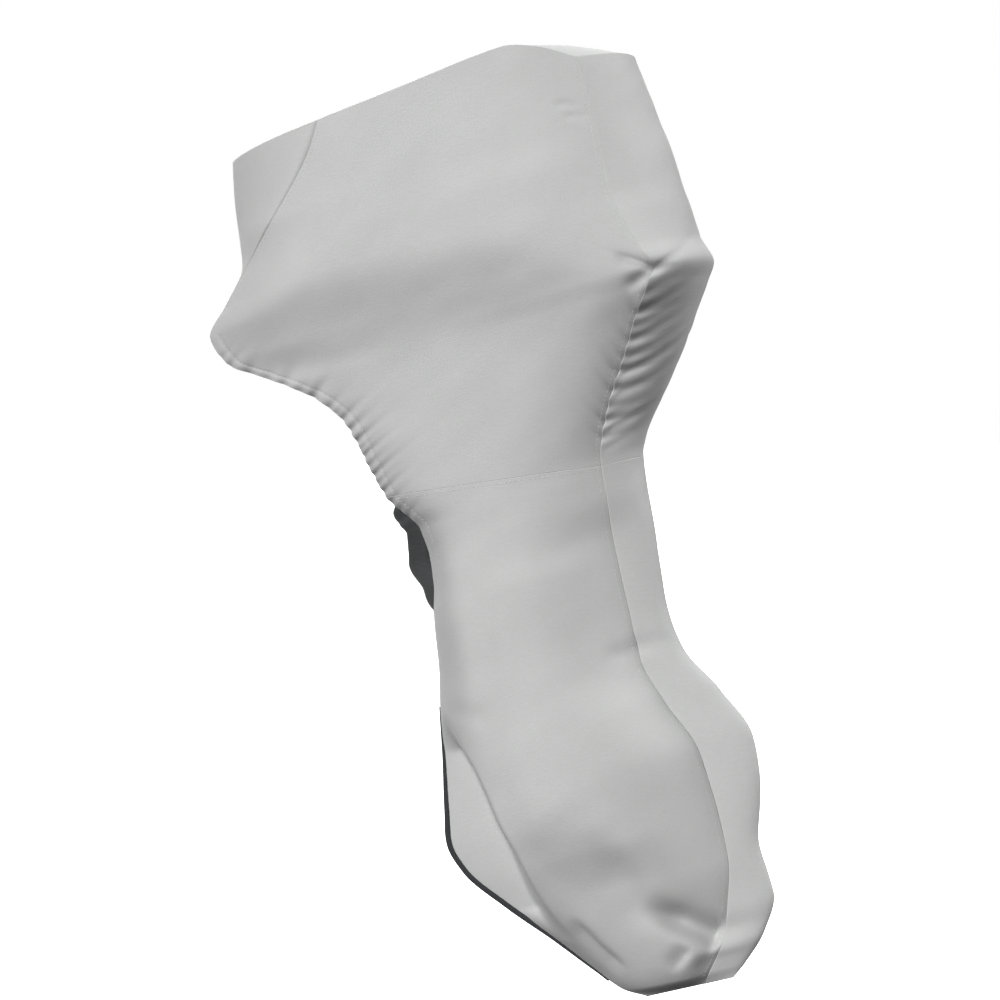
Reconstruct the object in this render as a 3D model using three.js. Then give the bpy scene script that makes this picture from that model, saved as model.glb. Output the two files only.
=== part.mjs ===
// Full-length outboard motor cover: a hollow shell of sewn cloth panels, as it hangs on a tilted motor.
// Millimetres, +X aft, +Y to starboard, +Z up. The origin is the middle of the hood top's inner face.
import * as THREE from 'three';

// Driving dimensions
const MOTOR_TILT_DEG = 15; // the motor is kicked up, so its foot swings aft
const CLOTH = 2; // thickness of the coated cloth with its seam allowance
const SEAM_GAP = 0.4; // panels stay apart along the sewn line
const CHIN_DOWN = 281; // where the nose panel ends and the front opening starts
const THROAT_DOWN = 762; // where the front opening ends and the leg panels meet
const WAIST_DOWN = 600; // seam between the hood panels and the leg panels, at mid side
const WAIST_SLANT = 37; // the waist seam lies this much lower at its aft end
const WAIST_REACH = 130; // how far above and below the seam the slant fades out
const FOOT_DOWN = 1398; // bottom of the cover
const TOP_REACH = 130; // the slope of the top edge fades out over this depth
const TOP_CROWN = 9; // rise of the top panel at its middle
const REST_ALONG = 0.49; // the hood rests on the motor here, between nose and aft gusset
const SIDE_FULLNESS = 2.5; // 2 is a round side, more is flatter with rounder edges
const AFT_FULLNESS = 2.8; // of the side's aft half
const NOSE_FULLNESS = 1.8;
const GUSSET_FULLNESS = 2.2; // the gusset is a flat arch that meets the sides at an angle
const BINDING_START = 905; // the binding covers the front edge from here
const BINDING_END = 1362;
const BINDING_WIDTH = 6;
const BINDING_THICK = 4;
const BINDING_GAP = 0.6; // clear of the chords of the panels' curved edge

// Sections down the motor: depth below the hood top, then the port front edge, the aft seam,
// the half widths at both, the greatest one with its place along the side (0 at the front edge),
// and the middle of the gusset. All in the motor's own frame.
const SECTIONS = [
	//  down  frontU frontW  aftU  aftW crownW crownAlong backU
	[ 0, - 78, 150, 295, 132, 158, 0.41, 353 ],
	[ 60, - 112, 156, 305, 132, 164, 0.41, 360 ],
	[ 140, - 192, 150, 306, 136, 173, 0.4, 369 ],
	[ 198, - 267, 112, 303, 142, 178, 0.4, 378 ],
	[ 242, - 316, 98, 304, 147, 177, 0.4, 380 ],
	[ 281, - 358, 88, 311, 152, 172, 0.43, 383 ],
	[ 325, - 341, 95, 323, 154, 167, 0.47, 385 ],
	[ 361, - 287, 108, 336, 154, 162, 0.5, 395 ],
	[ 389, - 244, 117, 320, 145, 158, 0.52, 380 ],
	[ 425, - 202, 117, 290, 130, 155, 0.52, 356 ],
	[ 470, - 175, 112, 258, 112, 152, 0.5, 326 ],
	[ 530, - 164, 102, 214, 93, 149, 0.46, 280 ],
	[ 585, - 151, 90, 183, 77, 147, 0.42, 235 ],
	[ 612, - 134, 82, 174, 70, 145, 0.4, 222 ],
	[ 640, - 118, 72, 170, 65, 143, 0.38, 217 ],
	[ 665, - 118, 62, 167, 61, 141, 0.37, 215 ],
	[ 720, - 130, 34, 158, 48, 138, 0.34, 212 ],
	[ 762, - 151, 0, 155, 44, 137, 0.33, 207 ],
	[ 850, - 166, 0, 151, 39, 137, 0.31, 201 ],
	[ 905, - 179, 0, 149, 38, 139, 0.31, 207 ],
	[ 980, - 193, 0, 169, 36, 140, 0.32, 245 ],
	[ 1060, - 210, 0, 199, 33, 137, 0.33, 276 ],
	[ 1110, - 219, 0, 202, 31, 132, 0.34, 272 ],
	[ 1153, - 206, 0, 203, 30, 124, 0.36, 262 ],
	[ 1220, - 154, 0, 200, 29, 106, 0.39, 244 ],
	[ 1287, - 92, 0, 181, 27, 84, 0.42, 247 ],
	[ 1342, - 46, 0, 158, 27, 62, 0.45, 219 ],
	[ 1380, - 12, 0, 127, 16, 38, 0.46, 180 ],
	[ 1398, 22, 0, 112, 2, 0, 0.5, 156 ],
];

// The nose panel's middle line, from the top corner down to the chin
const NOSE = [
	// down  noseU
	[ 0, - 278 ],
	[ 100, - 297 ],
	[ 175, - 303 ],
	[ 202, - 305 ],
	[ 240, - 340 ],
	[ 281, - 374 ],
];

// How far the top edge lies below the highest point, along the side panel from front to aft
const TOP_EDGE = [
	// along  drop
	[ 0, 25 ],
	[ 0.31, 15 ],
	[ 0.76, 0 ],
	[ 0.88, 12 ],
	[ 1, 42 ],
];

// The far hem hangs further forward than the near one around the throat of the opening
const FAR_HEM = [
	// down  shiftU
	[ 470, 0 ],
	[ 560, - 22 ],
	[ 615, - 64 ],
	[ 680, - 68 ],
	[ 728, - 34 ],
	[ 762, 0 ],
];

// How much fuller (or flatter, below 0) the slack side hangs than its even curve
const SWELL_ALONG = [ 0.15, 0.3, 0.45, 0.6, 0.75, 0.88 ];
const SWELLS = [
	// down, then the swell at each of SWELL_ALONG
	[ 20, - 2, - 2, - 1, 1.5, 6.5, 7 ],
	[ 120, 0.5, 0, 1, 2, 4.5, 7 ],
	[ 200, 6, 4, 2, 2.5, 5, 7 ],
	[ 260, 11, 5.5, 1, 1, 6, 7 ],
	[ 320, 5, 0.5, - 3, - 4.5, 0.5, 7 ],
	[ 380, - 3, - 3.5, - 5.5, - 6, - 2.5, 6 ],
	[ 440, - 3, - 6, - 8.5, - 8, - 4.5, 0 ],
	[ 500, - 1.5, - 6.5, - 9, - 9, - 6, - 2.5 ],
	[ 570, - 5.5, - 9, - 9.5, - 8.5, - 6, - 2 ],
	[ 650, - 3.5, - 8.5, - 8.5, - 8, - 6.5, - 4 ],
	[ 740, - 0.5, - 2, - 3, - 4, - 5.5, - 4.5 ],
	[ 830, - 3.5, 4, 1.5, -0, - 3, - 3 ],
	[ 920, - 5, 3, 2, 2, 3, 3.5 ],
	[ 1000, - 4, 4, 9.5, 11, 12.5, 9.5 ],
	[ 1080, - 3, 1, 13.5, 16, 16, 9 ],
	[ 1150, - 2, - 3, 4, 10.5, 15, 5.5 ],
	[ 1220, - 2, - 6, - 7, - 5, 2.5, -0 ],
	[ 1290, - 1, - 3, - 4, - 4, - 3, - 2.5 ],
	[ 1350, 0, 0, 0, 0, 0, 0 ],
];

// Rows of the cloth mesh: depth reached and the step used down to it
const ROW_BANDS = [
	{ to: 192, step: 32 },
	{ to: CHIN_DOWN, step: 18 },
	{ to: WAIST_DOWN, step: 13.3 },
	{ to: THROAT_DOWN, step: 18 },
	{ to: 1287, step: 24 },
	{ to: FOOT_DOWN, step: 13.9 },
];

const ALONG = [ 0, 0.03, 0.075, 0.13, 0.19, 0.25, 0.32, 0.4, 0.49, 0.58, 0.67, 0.76, 0.85, 0.93, 1 ];
const ACROSS = [ - 1, - 0.8, - 0.45, 0, 0.45, 0.8, 1 ];

// Soft folds of the side panels, each along a bent line of ( u, down ) in the motor frame. The widths are
// those of its two walls, first the one to the left of the way it runs, seen from port. The ends are
// the shares of its length over which it fades in and out.
const SIDE_FOLDS = [
	{ side: 'port', depth: 8, widths: [ 30, 26 ], ends: [ 0.4, 0.3 ],
		path: [ [ 30, 1120 ], [ 50, 1190 ], [ 62, 1250 ], [ 72, 1310 ] ] },
	{ side: 'port', depth: 8, widths: [ 8, 20 ], ends: [ 0.3, 0.3 ],
		path: [ [ - 42, 1248 ], [ - 16, 1302 ], [ 14, 1352 ] ] },
	{ side: 'port', depth: 30, widths: [ 24, 16 ], ends: [ 0.5, 0.22 ],
		path: [ [ 70, 1250 ], [ 102, 1284 ], [ 134, 1316 ], [ 162, 1344 ] ] },
	{ side: 'port', depth: 6, widths: [ 9, 13 ], ends: [ 0.4, 0.5 ],
		path: [ [ 152, 1350 ], [ 134, 1362 ], [ 106, 1382 ] ] },
	{ side: 'port', depth: 7, widths: [ 9, 15 ], ends: [ 0.35, 0.5 ],
		path: [ [ 122, 1330 ], [ 98, 1348 ], [ 72, 1366 ] ] },
	{ side: 'port', depth: 8, widths: [ 9, 9 ], ends: [ 0.5, 0 ],
		path: [ [ 284, 384 ], [ 306, 380 ], [ 338, 368 ] ] },
	{ side: 'port', depth: 6, widths: [ 9, 9 ], ends: [ 0.5, 0 ],
		path: [ [ 284, 336 ], [ 310, 348 ], [ 334, 360 ] ] },
	{ side: 'port', depth: 5, widths: [ 14, 14 ], ends: [ 0.4, 0.1 ],
		path: [ [ 104, 889 ], [ 130, 893 ], [ 160, 888 ] ] },
	{ side: 'port', depth: 2.5, widths: [ 16, 16 ], ends: [ 0.35, 0.35 ],
		path: [ [ - 150, 902 ], [ - 105, 922 ], [ - 50, 940 ] ] },
	{ side: 'starboard', depth: 6, widths: [ 24, 28 ], ends: [ 0.4, 0.3 ],
		path: [ [ 0, 1110 ], [ 20, 1200 ], [ 36, 1300 ] ] },
	{ side: 'starboard', depth: 6, widths: [ 14, 9 ], ends: [ 0.35, 0.35 ],
		path: [ [ - 40, 1236 ], [ - 14, 1280 ], [ 12, 1318 ] ] },
	{ side: 'starboard', depth: 15, widths: [ 14, 28 ], ends: [ 0.4, 0.1 ],
		path: [ [ 92, 1262 ], [ 126, 1292 ], [ 156, 1316 ] ] },
	{ side: 'starboard', depth: 8, widths: [ 12, 12 ], ends: [ 0.5, 0 ],
		path: [ [ 276, 350 ], [ 300, 358 ], [ 330, 364 ] ] },
];

// Ahead of this line the bag's front edge is a flat flap
const FLAP_LINE = [
	// down  u
	[ 915, - 182 ],
	[ 932, - 174 ],
	[ 970, - 164 ],
	[ 1008, - 150 ],
	[ 1051, - 141 ],
	[ 1094, - 134 ],
	[ 1132, - 125 ],
	[ 1167, - 120 ],
	[ 1212, - 114 ],
	[ 1254, - 101 ],
	[ 1290, - 84 ],
];
const FLAP_PRESS = 0.82; // the flap lies this much nearer to the middle plane
const FLAP_WALL = 42; // from the flap the bag rises over this width
const FLAP_FADE = 60; // the flap starts and ends over this depth
const FAR_FLAP_SHIFT = - 12; // the far side's flap is this much narrower

// The belt is where the widest line of the hood turns under
const BELT_LINE = [
	// along  down
	[ 0, 212 ],
	[ 0.07, 223 ],
	[ 0.23, 245 ],
	[ 0.5, 271 ],
	[ 0.66, 273 ],
	[ 0.83, 289 ],
	[ 1, 312 ],
];
const BELT_BULGE = 4;
const BELT_SQUARENESS = 8; // the belt keeps its height nearly to the panel's edges
const BELT_ABOVE = 75;
const BELT_BELOW = 50;

// Gathers of the front hem and of the aft seam: depth down the motor, how deep, how long
const HEM_GATHERS = [
	// down depth reach
	[ 330, 5, 20 ],
	[ 349, 7, 24 ],
	[ 381, 8, 26 ],
	[ 411, 9, 28 ],
	[ 433, 5, 20 ],
	[ 455, 7, 26 ],
	[ 473, 5, 20 ],
	[ 492, 8, 24 ],
	[ 516, 7, 24 ],
	[ 547, 8, 26 ],
	[ 574, 7, 22 ],
	[ 592, 6, 18 ],
	[ 618, 6, 20 ],
];
const SEAM_GATHERS = [
	// down depth reach
	[ 369, 10, 60 ],
	[ 421, 6, 50 ],
	[ 455, 6, 50 ],
	[ 476, 5, 44 ],
	[ 494, 9, 80 ],
	[ 518, 6, 50 ],
	[ 558, 6, 55 ],
];
const GATHER_WIDTH = 10;
const GATHER_SLANT = 0.35; // gathers lean this much for each millimetre inward
const FAR_GATHER_SHIFT = 9; // the far side's gathers lie up to this far from the near side's
const SEAM_GATHER_SIDE = 0.35; // how far the seam's gathers reach on the side panel, of that on the gusset
const GUSSET_GATHER = 1.2; // and how deep they are on the gusset, of that on the side panel
const GUSSET_GATHER_START = 12; // the gusset's gathers deepen over this distance from the seam
const NARROW_FOLD_HALF = 40; // folds grow shallow where the cover is thinner than this
const LEAST_HALF = 6; // folds never draw a side nearer to the middle plane than this
const FOLD_REACH = 22; // a side panel's folds die out over this way into the strip beside it

const CLOTH_GREY = '#c4c5c4';
const BINDING_GREY = '#2b2b2d';

// A smooth curve through a table's rows that never overshoots between them
function smoothColumn( table, column ) {

	const x = table.map( ( row ) => row[ 0 ] );
	const y = table.map( ( row ) => row[ column ] );
	const last = x.length - 1;
	const slope = x.slice( 1 ).map( ( v, k ) => ( y[ k + 1 ] - y[ k ] ) / ( v - x[ k ] ) );
	const tangent = x.map( ( v, k ) => {

		if ( k === 0 ) return slope[ 0 ];
		if ( k === last ) return slope[ last - 1 ];
		const before = slope[ k - 1 ];
		const after = slope[ k ];
		return before * after <= 0 ? 0 : 2 * before * after / ( before + after );

	} );
	return ( at ) => {

		const v = THREE.MathUtils.clamp( at, x[ 0 ], x[ last ] );
		let k = 0;
		while ( k < last - 1 && v > x[ k + 1 ] ) k ++;
		const h = x[ k + 1 ] - x[ k ];
		const t = ( v - x[ k ] ) / h;
		const t2 = t * t;
		const t3 = t2 * t;
		return ( 2 * t3 - 3 * t2 + 1 ) * y[ k ] + ( t3 - 2 * t2 + t ) * h * tangent[ k ]
			+ ( 3 * t2 - 2 * t3 ) * y[ k + 1 ] + ( t3 - t2 ) * h * tangent[ k + 1 ];

	};

}

const frontU = smoothColumn( SECTIONS, 1 );
const frontW = smoothColumn( SECTIONS, 2 );
const aftU = smoothColumn( SECTIONS, 3 );
const aftW = smoothColumn( SECTIONS, 4 );
const crownW = smoothColumn( SECTIONS, 5 );
const crownAlong = smoothColumn( SECTIONS, 6 );
const backU = smoothColumn( SECTIONS, 7 );
const noseU = smoothColumn( NOSE, 1 );
const topDrop = smoothColumn( TOP_EDGE, 1 );
const farHem = smoothColumn( FAR_HEM, 1 );
const beltDown = smoothColumn( BELT_LINE, 1 );
const flapU = smoothColumn( FLAP_LINE, 1 );
const swellAt = SWELL_ALONG.map( ( _, k ) => smoothColumn( SWELLS, k + 1 ) );

function bell( distance, width ) {

	return Math.exp( - ( ( distance / width ) ** 2 ) );

}

// 0 at an end of a fold and 1 from the given share of its length on
function fadeIn( run, share ) {

	return share === 0 ? 1 : Math.sin( THREE.MathUtils.clamp( run / share, 0, 1 ) * Math.PI / 2 ) ** 2;

}

// How deep a fold is at a point: the nearest of its stretches counts
function foldDepth( u, down, { path, depth, widths, ends } ) {

	const lengths = path.slice( 1 ).map( ( [ pu, pd ], k ) => Math.hypot( pu - path[ k ][ 0 ], pd - path[ k ][ 1 ] ) );
	const total = lengths.reduce( ( sum, length ) => sum + length, 0 );
	let nearest = { off: Infinity };
	let before = 0;
	lengths.forEach( ( length, k ) => {

		const [ u0, d0 ] = path[ k ];
		const du = path[ k + 1 ][ 0 ] - u0;
		const dd = path[ k + 1 ][ 1 ] - d0;
		const t = THREE.MathUtils.clamp( ( ( u - u0 ) * du + ( down - d0 ) * dd ) / length ** 2, 0, 1 );
		const off = Math.hypot( u - u0 - t * du, down - d0 - t * dd );
		const hand = du * ( down - d0 ) - dd * ( u - u0 );
		if ( off < nearest.off ) nearest = { off, hand, run: ( before + t * length ) / total };
		before += length;

	} );
	const width = nearest.hand < 0 ? widths[ 0 ] : widths[ 1 ];
	return depth * fadeIn( nearest.run, ends[ 0 ] ) * fadeIn( 1 - nearest.run, ends[ 1 ] ) * bell( nearest.off, width );

}

// The share of the half width that is left where the bag's front flap lies flat
function flapShare( side, u, down ) {

	const past = u - flapU( down ) - ( side === 'port' ? 0 : FAR_FLAP_SHIFT );
	const start = FLAP_LINE[ 0 ][ 0 ];
	const end = FLAP_LINE[ FLAP_LINE.length - 1 ][ 0 ];
	const inBag = THREE.MathUtils.clamp( ( down - start ) / FLAP_FADE, 0, 1 )
		* THREE.MathUtils.clamp( ( end - down ) / FLAP_FADE, 0, 1 );
	return 1 - FLAP_PRESS * inBag * ( 1 - THREE.MathUtils.smoothstep( past, 0, FLAP_WALL ) );

}

// Sum of the gathers of an edge at a point that lies inward of it; uneven by a shift for each side
function gatherDepth( table, down, inward, side ) {

	let sum = 0;
	for ( const [ at, depth, reach ] of table ) {

		const shift = side === 'port' ? 0 : FAR_GATHER_SHIFT * Math.sin( at );
		sum += depth * bell( down - at - shift + GATHER_SLANT * inward, GATHER_WIDTH ) * Math.exp( - inward / reach );

	}
	return sum;

}

// The belt ridge across the hood side
function beltRise( along, down ) {

	const above = down < beltDown( along );
	return BELT_BULGE * bell( down - beltDown( along ), above ? BELT_ABOVE : BELT_BELOW );

}

// A smooth surface through the table of swells, 0 at both edges of the side
function swell( down, along ) {

	const x = [ 0, ...SWELL_ALONG, 1 ];
	const y = [ 0, ...swellAt.map( ( column ) => column( down ) ), 0 ];
	const last = x.length - 1;
	const slope = x.slice( 1 ).map( ( v, k ) => ( y[ k + 1 ] - y[ k ] ) / ( v - x[ k ] ) );
	const tangent = x.map( ( _, k ) => ( slope[ Math.max( k - 1, 0 ) ] + slope[ Math.min( k, last - 1 ) ] ) / 2 );
	let k = 0;
	while ( k < last - 1 && along > x[ k + 1 ] ) k ++;
	const h = x[ k + 1 ] - x[ k ];
	const t = ( along - x[ k ] ) / h;
	return ( 2 * t ** 3 - 3 * t ** 2 + 1 ) * y[ k ] + ( t ** 3 - 2 * t ** 2 + t ) * h * tangent[ k ]
		+ ( 3 * t ** 2 - 2 * t ** 3 ) * y[ k + 1 ] + ( t ** 3 - t ** 2 ) * h * tangent[ k + 1 ];

}

// Outer face of a side panel in the motor frame: u aft, w half width, down.
// folded is false for the smooth form without folds and gathers.
function sidePoint( side, down, along, folded ) {

	const front = frontU( down ) + ( side === 'port' ? 0 : farHem( down ) );
	const chord = aftU( down ) - front;
	const u = front + chord * along;
	const straight = THREE.MathUtils.lerp( frontW( down ), aftW( down ), along );
	const crown = crownAlong( down );
	const bulge = crownW( down ) - THREE.MathUtils.lerp( frontW( down ), aftW( down ), crown );
	const round = along < crown
		? 1 - ( ( crown - along ) / crown ) ** SIDE_FULLNESS
		: 1 - ( ( along - crown ) / ( 1 - crown ) ) ** AFT_FULLNESS;
	const inside = 1 - Math.abs( 2 * along - 1 ) ** BELT_SQUARENESS;
	let w = straight + bulge * round;
	if ( down < WAIST_DOWN ) w += beltRise( along, down ) * inside;
	w = ( w + swell( down, along ) ) * flapShare( side, u, down );
	const smooth = w;
	if ( folded ) {

		const thin = Math.min( 1, w / NARROW_FOLD_HALF );
		for ( const fold of SIDE_FOLDS ) if ( fold.side === side ) w -= foldDepth( u, down, fold ) * thin;
		if ( down > CHIN_DOWN && down < THROAT_DOWN ) w -= gatherDepth( HEM_GATHERS, down, along * chord, side );
		if ( down < WAIST_DOWN ) w -= gatherDepth( SEAM_GATHERS, down, ( 1 - along ) * chord / SEAM_GATHER_SIDE, side );

	}
	w = Math.max( w, Math.min( smooth, LEAST_HALF ) );
	return { u, w: Math.max( 0, w ), down };

}

// Depth of a grid row at a place along the side, with the top edge's slope and the waist's slant
function rowDepth( row, along ) {

	const top = topDrop( along ) * Math.max( 0, 1 - row / TOP_REACH );
	const waist = WAIST_SLANT * ( along - 0.5 ) * bell( row - WAIST_DOWN, WAIST_REACH );
	return row + top + waist;

}

// Points of the motor frame in the group's own axes: X aft, Y starboard, Z up the motor
function place( u, w, down ) {

	return new THREE.Vector3( u, w, - down );

}

function sideVertex( side, row, along, folded = true ) {

	const closed = row >= FOOT_DOWN && along < 1 || row >= THROAT_DOWN && along === 0;
	const { u, w, down } = sidePoint( side, rowDepth( row, along ), along, folded );
	const half = closed ? 0 : w;
	return place( u, side === 'port' ? - half : half, down );

}

// A strip between the two side panels: its edges are the panels' edges, its middle stands proud.
// proud is 0 at its edges and 1 on the middle line.
function stripVertex( row, along, across, middleU, proud ) {

	const port = sideVertex( 'port', row, along );
	const starboard = sideVertex( 'starboard', row, along );
	if ( Math.abs( across ) === 1 ) return across < 0 ? port : starboard;
	const smoothPort = sideVertex( 'port', row, along, false );
	const smoothStarboard = sideVertex( 'starboard', row, along, false );
	const t = ( across + 1 ) / 2;
	const span = smoothPort.distanceTo( smoothStarboard );
	const fade = ( inward ) => Math.exp( - inward * span / FOLD_REACH ) * ( 1 - inward );
	const edge = new THREE.Vector3().lerpVectors( smoothPort, smoothStarboard, t )
		.addScaledVector( port.sub( smoothPort ), fade( t ) )
		.addScaledVector( starboard.sub( smoothStarboard ), fade( 1 - t ) );
	const down = - edge.z;
	edge.x += ( middleU( down ) - edge.x ) * proud;
	return edge;

}

function noseVertex( row, across ) {

	const proud = ( 1 - Math.abs( across ) ** NOSE_FULLNESS ) ** ( 1 / NOSE_FULLNESS );
	return stripVertex( row, 0, across, noseU, proud );

}

function backVertex( row, across ) {

	const point = stripVertex( row, 1, across, backU, 1 - Math.abs( across ) ** GUSSET_FULLNESS );
	const inward = ( 1 - Math.abs( across ) ) * aftW( row );
	if ( row < WAIST_DOWN && inward > 0 ) {

		const side = across < 0 ? 'port' : 'starboard';
		const fade = Math.min( 1, inward / GUSSET_GATHER_START );
		point.x -= GUSSET_GATHER * fade * gatherDepth( SEAM_GATHERS, row, inward, side );

	}
	return point;

}

// The top panel fills the loop of the four top edges, with a low crown
function topVertex( along, across ) {

	const t = ( across + 1 ) / 2;
	const port = sideVertex( 'port', 0, along );
	const starboard = sideVertex( 'starboard', 0, along );
	const nose = noseVertex( 0, across );
	const back = backVertex( 0, across );
	const corner = ( a, c ) => sideVertex( c < 0 ? 'port' : 'starboard', 0, a );
	const point = new THREE.Vector3()
		.addScaledVector( port, 1 - t ).addScaledVector( starboard, t )
		.addScaledVector( nose, 1 - along ).addScaledVector( back, along )
		.addScaledVector( corner( 0, - 1 ), - ( 1 - along ) * ( 1 - t ) )
		.addScaledVector( corner( 0, 1 ), - ( 1 - along ) * t )
		.addScaledVector( corner( 1, - 1 ), - along * ( 1 - t ) )
		.addScaledVector( corner( 1, 1 ), - along * t );
	const inside = ( 1 - ( 2 * along - 1 ) ** 2 ) * ( 1 - across ** 2 );
	point.z += TOP_CROWN * inside;
	return point;

}

function meshRows( from, to ) {

	const rows = [ 0 ];
	for ( const band of ROW_BANDS ) {

		const start = rows[ rows.length - 1 ];
		const count = Math.round( ( band.to - start ) / band.step );
		for ( let k = 1; k <= count; k ++ ) rows.push( start + ( band.to - start ) * k / count );

	}
	return rows.filter( ( row ) => row >= from - 0.01 && row <= to + 0.01 );

}

// A panel is a grid of outer points. sewn says which of its edges meet another panel.
function panel( name, rows, columns, pointAt, sewn, flip ) {

	const grid = rows.map( ( row ) => columns.map( ( column ) => pointAt( row, column ) ) );
	return { name, grid, sewn, flip };

}

const hoodRows = meshRows( 0, WAIST_DOWN );
const legRows = meshRows( WAIST_DOWN, FOOT_DOWN );
const noseRows = meshRows( 0, CHIN_DOWN );
const allSewn = { start: true, end: true, first: true, last: true };

const PANELS = [
	panel( 'hood_side_port', hoodRows, ALONG, ( r, a ) => sideVertex( 'port', r, a ), allSewn, false ),
	panel( 'hood_side_starboard', hoodRows, ALONG, ( r, a ) => sideVertex( 'starboard', r, a ), allSewn, true ),
	panel( 'nose_panel', noseRows, ACROSS, noseVertex, { ...allSewn, end: false }, true ),
	panel( 'top_panel', ALONG, ACROSS, topVertex, allSewn, false ),
	panel( 'aft_gusset', hoodRows, ACROSS, backVertex, allSewn, false ),
	panel( 'leg_side_port', legRows, ALONG, ( r, a ) => sideVertex( 'port', r, a ), allSewn, false ),
	panel( 'leg_side_starboard', legRows, ALONG, ( r, a ) => sideVertex( 'starboard', r, a ), allSewn, true ),
	panel( 'leg_gusset', legRows, ACROSS, backVertex, allSewn, false ),
];

function pointKey( point ) {

	return point.toArray().map( ( v ) => Math.round( v * 1000 ) ).map( ( v ) => v + 0 || 0 ).join( '_' );

}

// Corner loops of each grid cell, turned so that they face out of the cover
function cellTriangles( { grid, flip }, visit ) {

	for ( let r = 0; r + 1 < grid.length; r ++ ) {

		for ( let c = 0; c + 1 < grid[ 0 ].length; c ++ ) {

			const near = [ r, c ];
			const right = [ r, c + 1 ];
			const below = [ r + 1, c ];
			const far = [ r + 1, c + 1 ];
			const span = ( [ i, j ], [ m, n ] ) => grid[ i ][ j ].distanceTo( grid[ m ][ n ] );
			const straight = span( near, far ) < span( right, below );
			const halves = straight
				? [ [ near, far, right ], [ near, below, far ] ]
				: [ [ near, below, right ], [ right, below, far ] ];
			for ( const [ a, b, d ] of halves ) visit( ...( flip ? [ a, d, b ] : [ a, b, d ] ) );

		}

	}

}

// Outward directions at every point, shared by the panels that meet there
function sharedNormals( panels ) {

	const sums = new Map();
	for ( const item of panels ) {

		cellTriangles( item, ( ...corners ) => {

			const [ a, b, c ] = corners.map( ( [ r, k ] ) => item.grid[ r ][ k ] );
			const face = new THREE.Vector3().crossVectors( b.clone().sub( a ), c.clone().sub( a ) );
			if ( face.lengthSq() < 1e-9 ) return;
			face.normalize();
			for ( const point of [ a, b, c ] ) {

				// Where the two sides meet on the middle plane they are mitred along it
				const key = pointKey( point );
				if ( ! sums.has( key ) ) sums.set( key, [] );
				sums.get( key ).push( point.y === 0 ? face.clone().setY( 0 ) : face );

			}

		} );

	}
	const normals = new Map();
	for ( const [ key, faces ] of sums ) {

		const normal = faces.reduce( ( sum, face ) => sum.add( face ), new THREE.Vector3() ).normalize();
		const meets = faces.reduce( ( sum, face ) => sum + normal.dot( face ), 0 ) / faces.length;
		normals.set( key, normal.multiplyScalar( 1 / Math.max( 0.6, meets ) ) );

	}
	return normals;

}

// The closed solid of a panel: outer face, inner face and its rim
function panelGeometry( item, normals ) {

	const { grid, sewn, flip } = item;
	const rowCount = grid.length;
	const columnCount = grid[ 0 ].length;
	const outer = [];
	const inner = [];
	const pull = ( point, neighbour ) => neighbour.clone().sub( point ).setLength( SEAM_GAP / 2 );
	for ( let r = 0; r < rowCount; r ++ ) {

		for ( let c = 0; c < columnCount; c ++ ) {

			const point = grid[ r ][ c ];
			const shift = new THREE.Vector3();
			if ( sewn.start && r === 0 ) shift.add( pull( point, grid[ 1 ][ c ] ) );
			if ( sewn.end && r === rowCount - 1 ) shift.add( pull( point, grid[ r - 1 ][ c ] ) );
			if ( sewn.first && c === 0 ) shift.add( pull( point, grid[ r ][ 1 ] ) );
			if ( sewn.last && c === columnCount - 1 ) shift.add( pull( point, grid[ r ][ c - 1 ] ) );
			const normal = normals.get( pointKey( point ) );
			outer.push( point.clone().add( shift ) );
			inner.push( point.clone().add( shift ).addScaledVector( normal, - CLOTH ) );

		}

	}
	const positions = [ ...outer, ...inner ].flatMap( ( point ) => point.toArray() );
	const index = [];
	const at = ( r, c ) => r * columnCount + c;
	const under = outer.length;
	cellTriangles( item, ( a, b, c ) => {

		const [ i, j, k ] = [ at( ...a ), at( ...b ), at( ...c ) ];
		index.push( i, j, k, under + i, under + k, under + j );

	} );
	const rim = [];
	for ( let c = 0; c < columnCount - 1; c ++ ) rim.push( [ 0, c, 0, c + 1 ] );
	for ( let r = 0; r < rowCount - 1; r ++ ) rim.push( [ r, columnCount - 1, r + 1, columnCount - 1 ] );
	for ( let c = columnCount - 1; c > 0; c -- ) rim.push( [ rowCount - 1, c, rowCount - 1, c - 1 ] );
	for ( let r = rowCount - 1; r > 0; r -- ) rim.push( [ r, 0, r - 1, 0 ] );
	for ( const [ r0, c0, r1, c1 ] of rim ) {

		// Panels that meet split their twisted rim cells along the same line
		const [ i, j ] = flip ? [ at( r1, c1 ), at( r0, c0 ) ] : [ at( r0, c0 ), at( r1, c1 ) ];
		const from = pointKey( flip ? grid[ r1 ][ c1 ] : grid[ r0 ][ c0 ] );
		const to = pointKey( flip ? grid[ r0 ][ c0 ] : grid[ r1 ][ c1 ] );
		if ( from < to ) index.push( i, j, under + j, i, under + j, under + i );
		else index.push( i, j, under + i, j, under + j, under + i );

	}
	const geometry = new THREE.BufferGeometry();
	geometry.setAttribute( 'position', new THREE.Float32BufferAttribute( positions, 3 ) );
	geometry.setIndex( index );
	return geometry;

}

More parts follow.
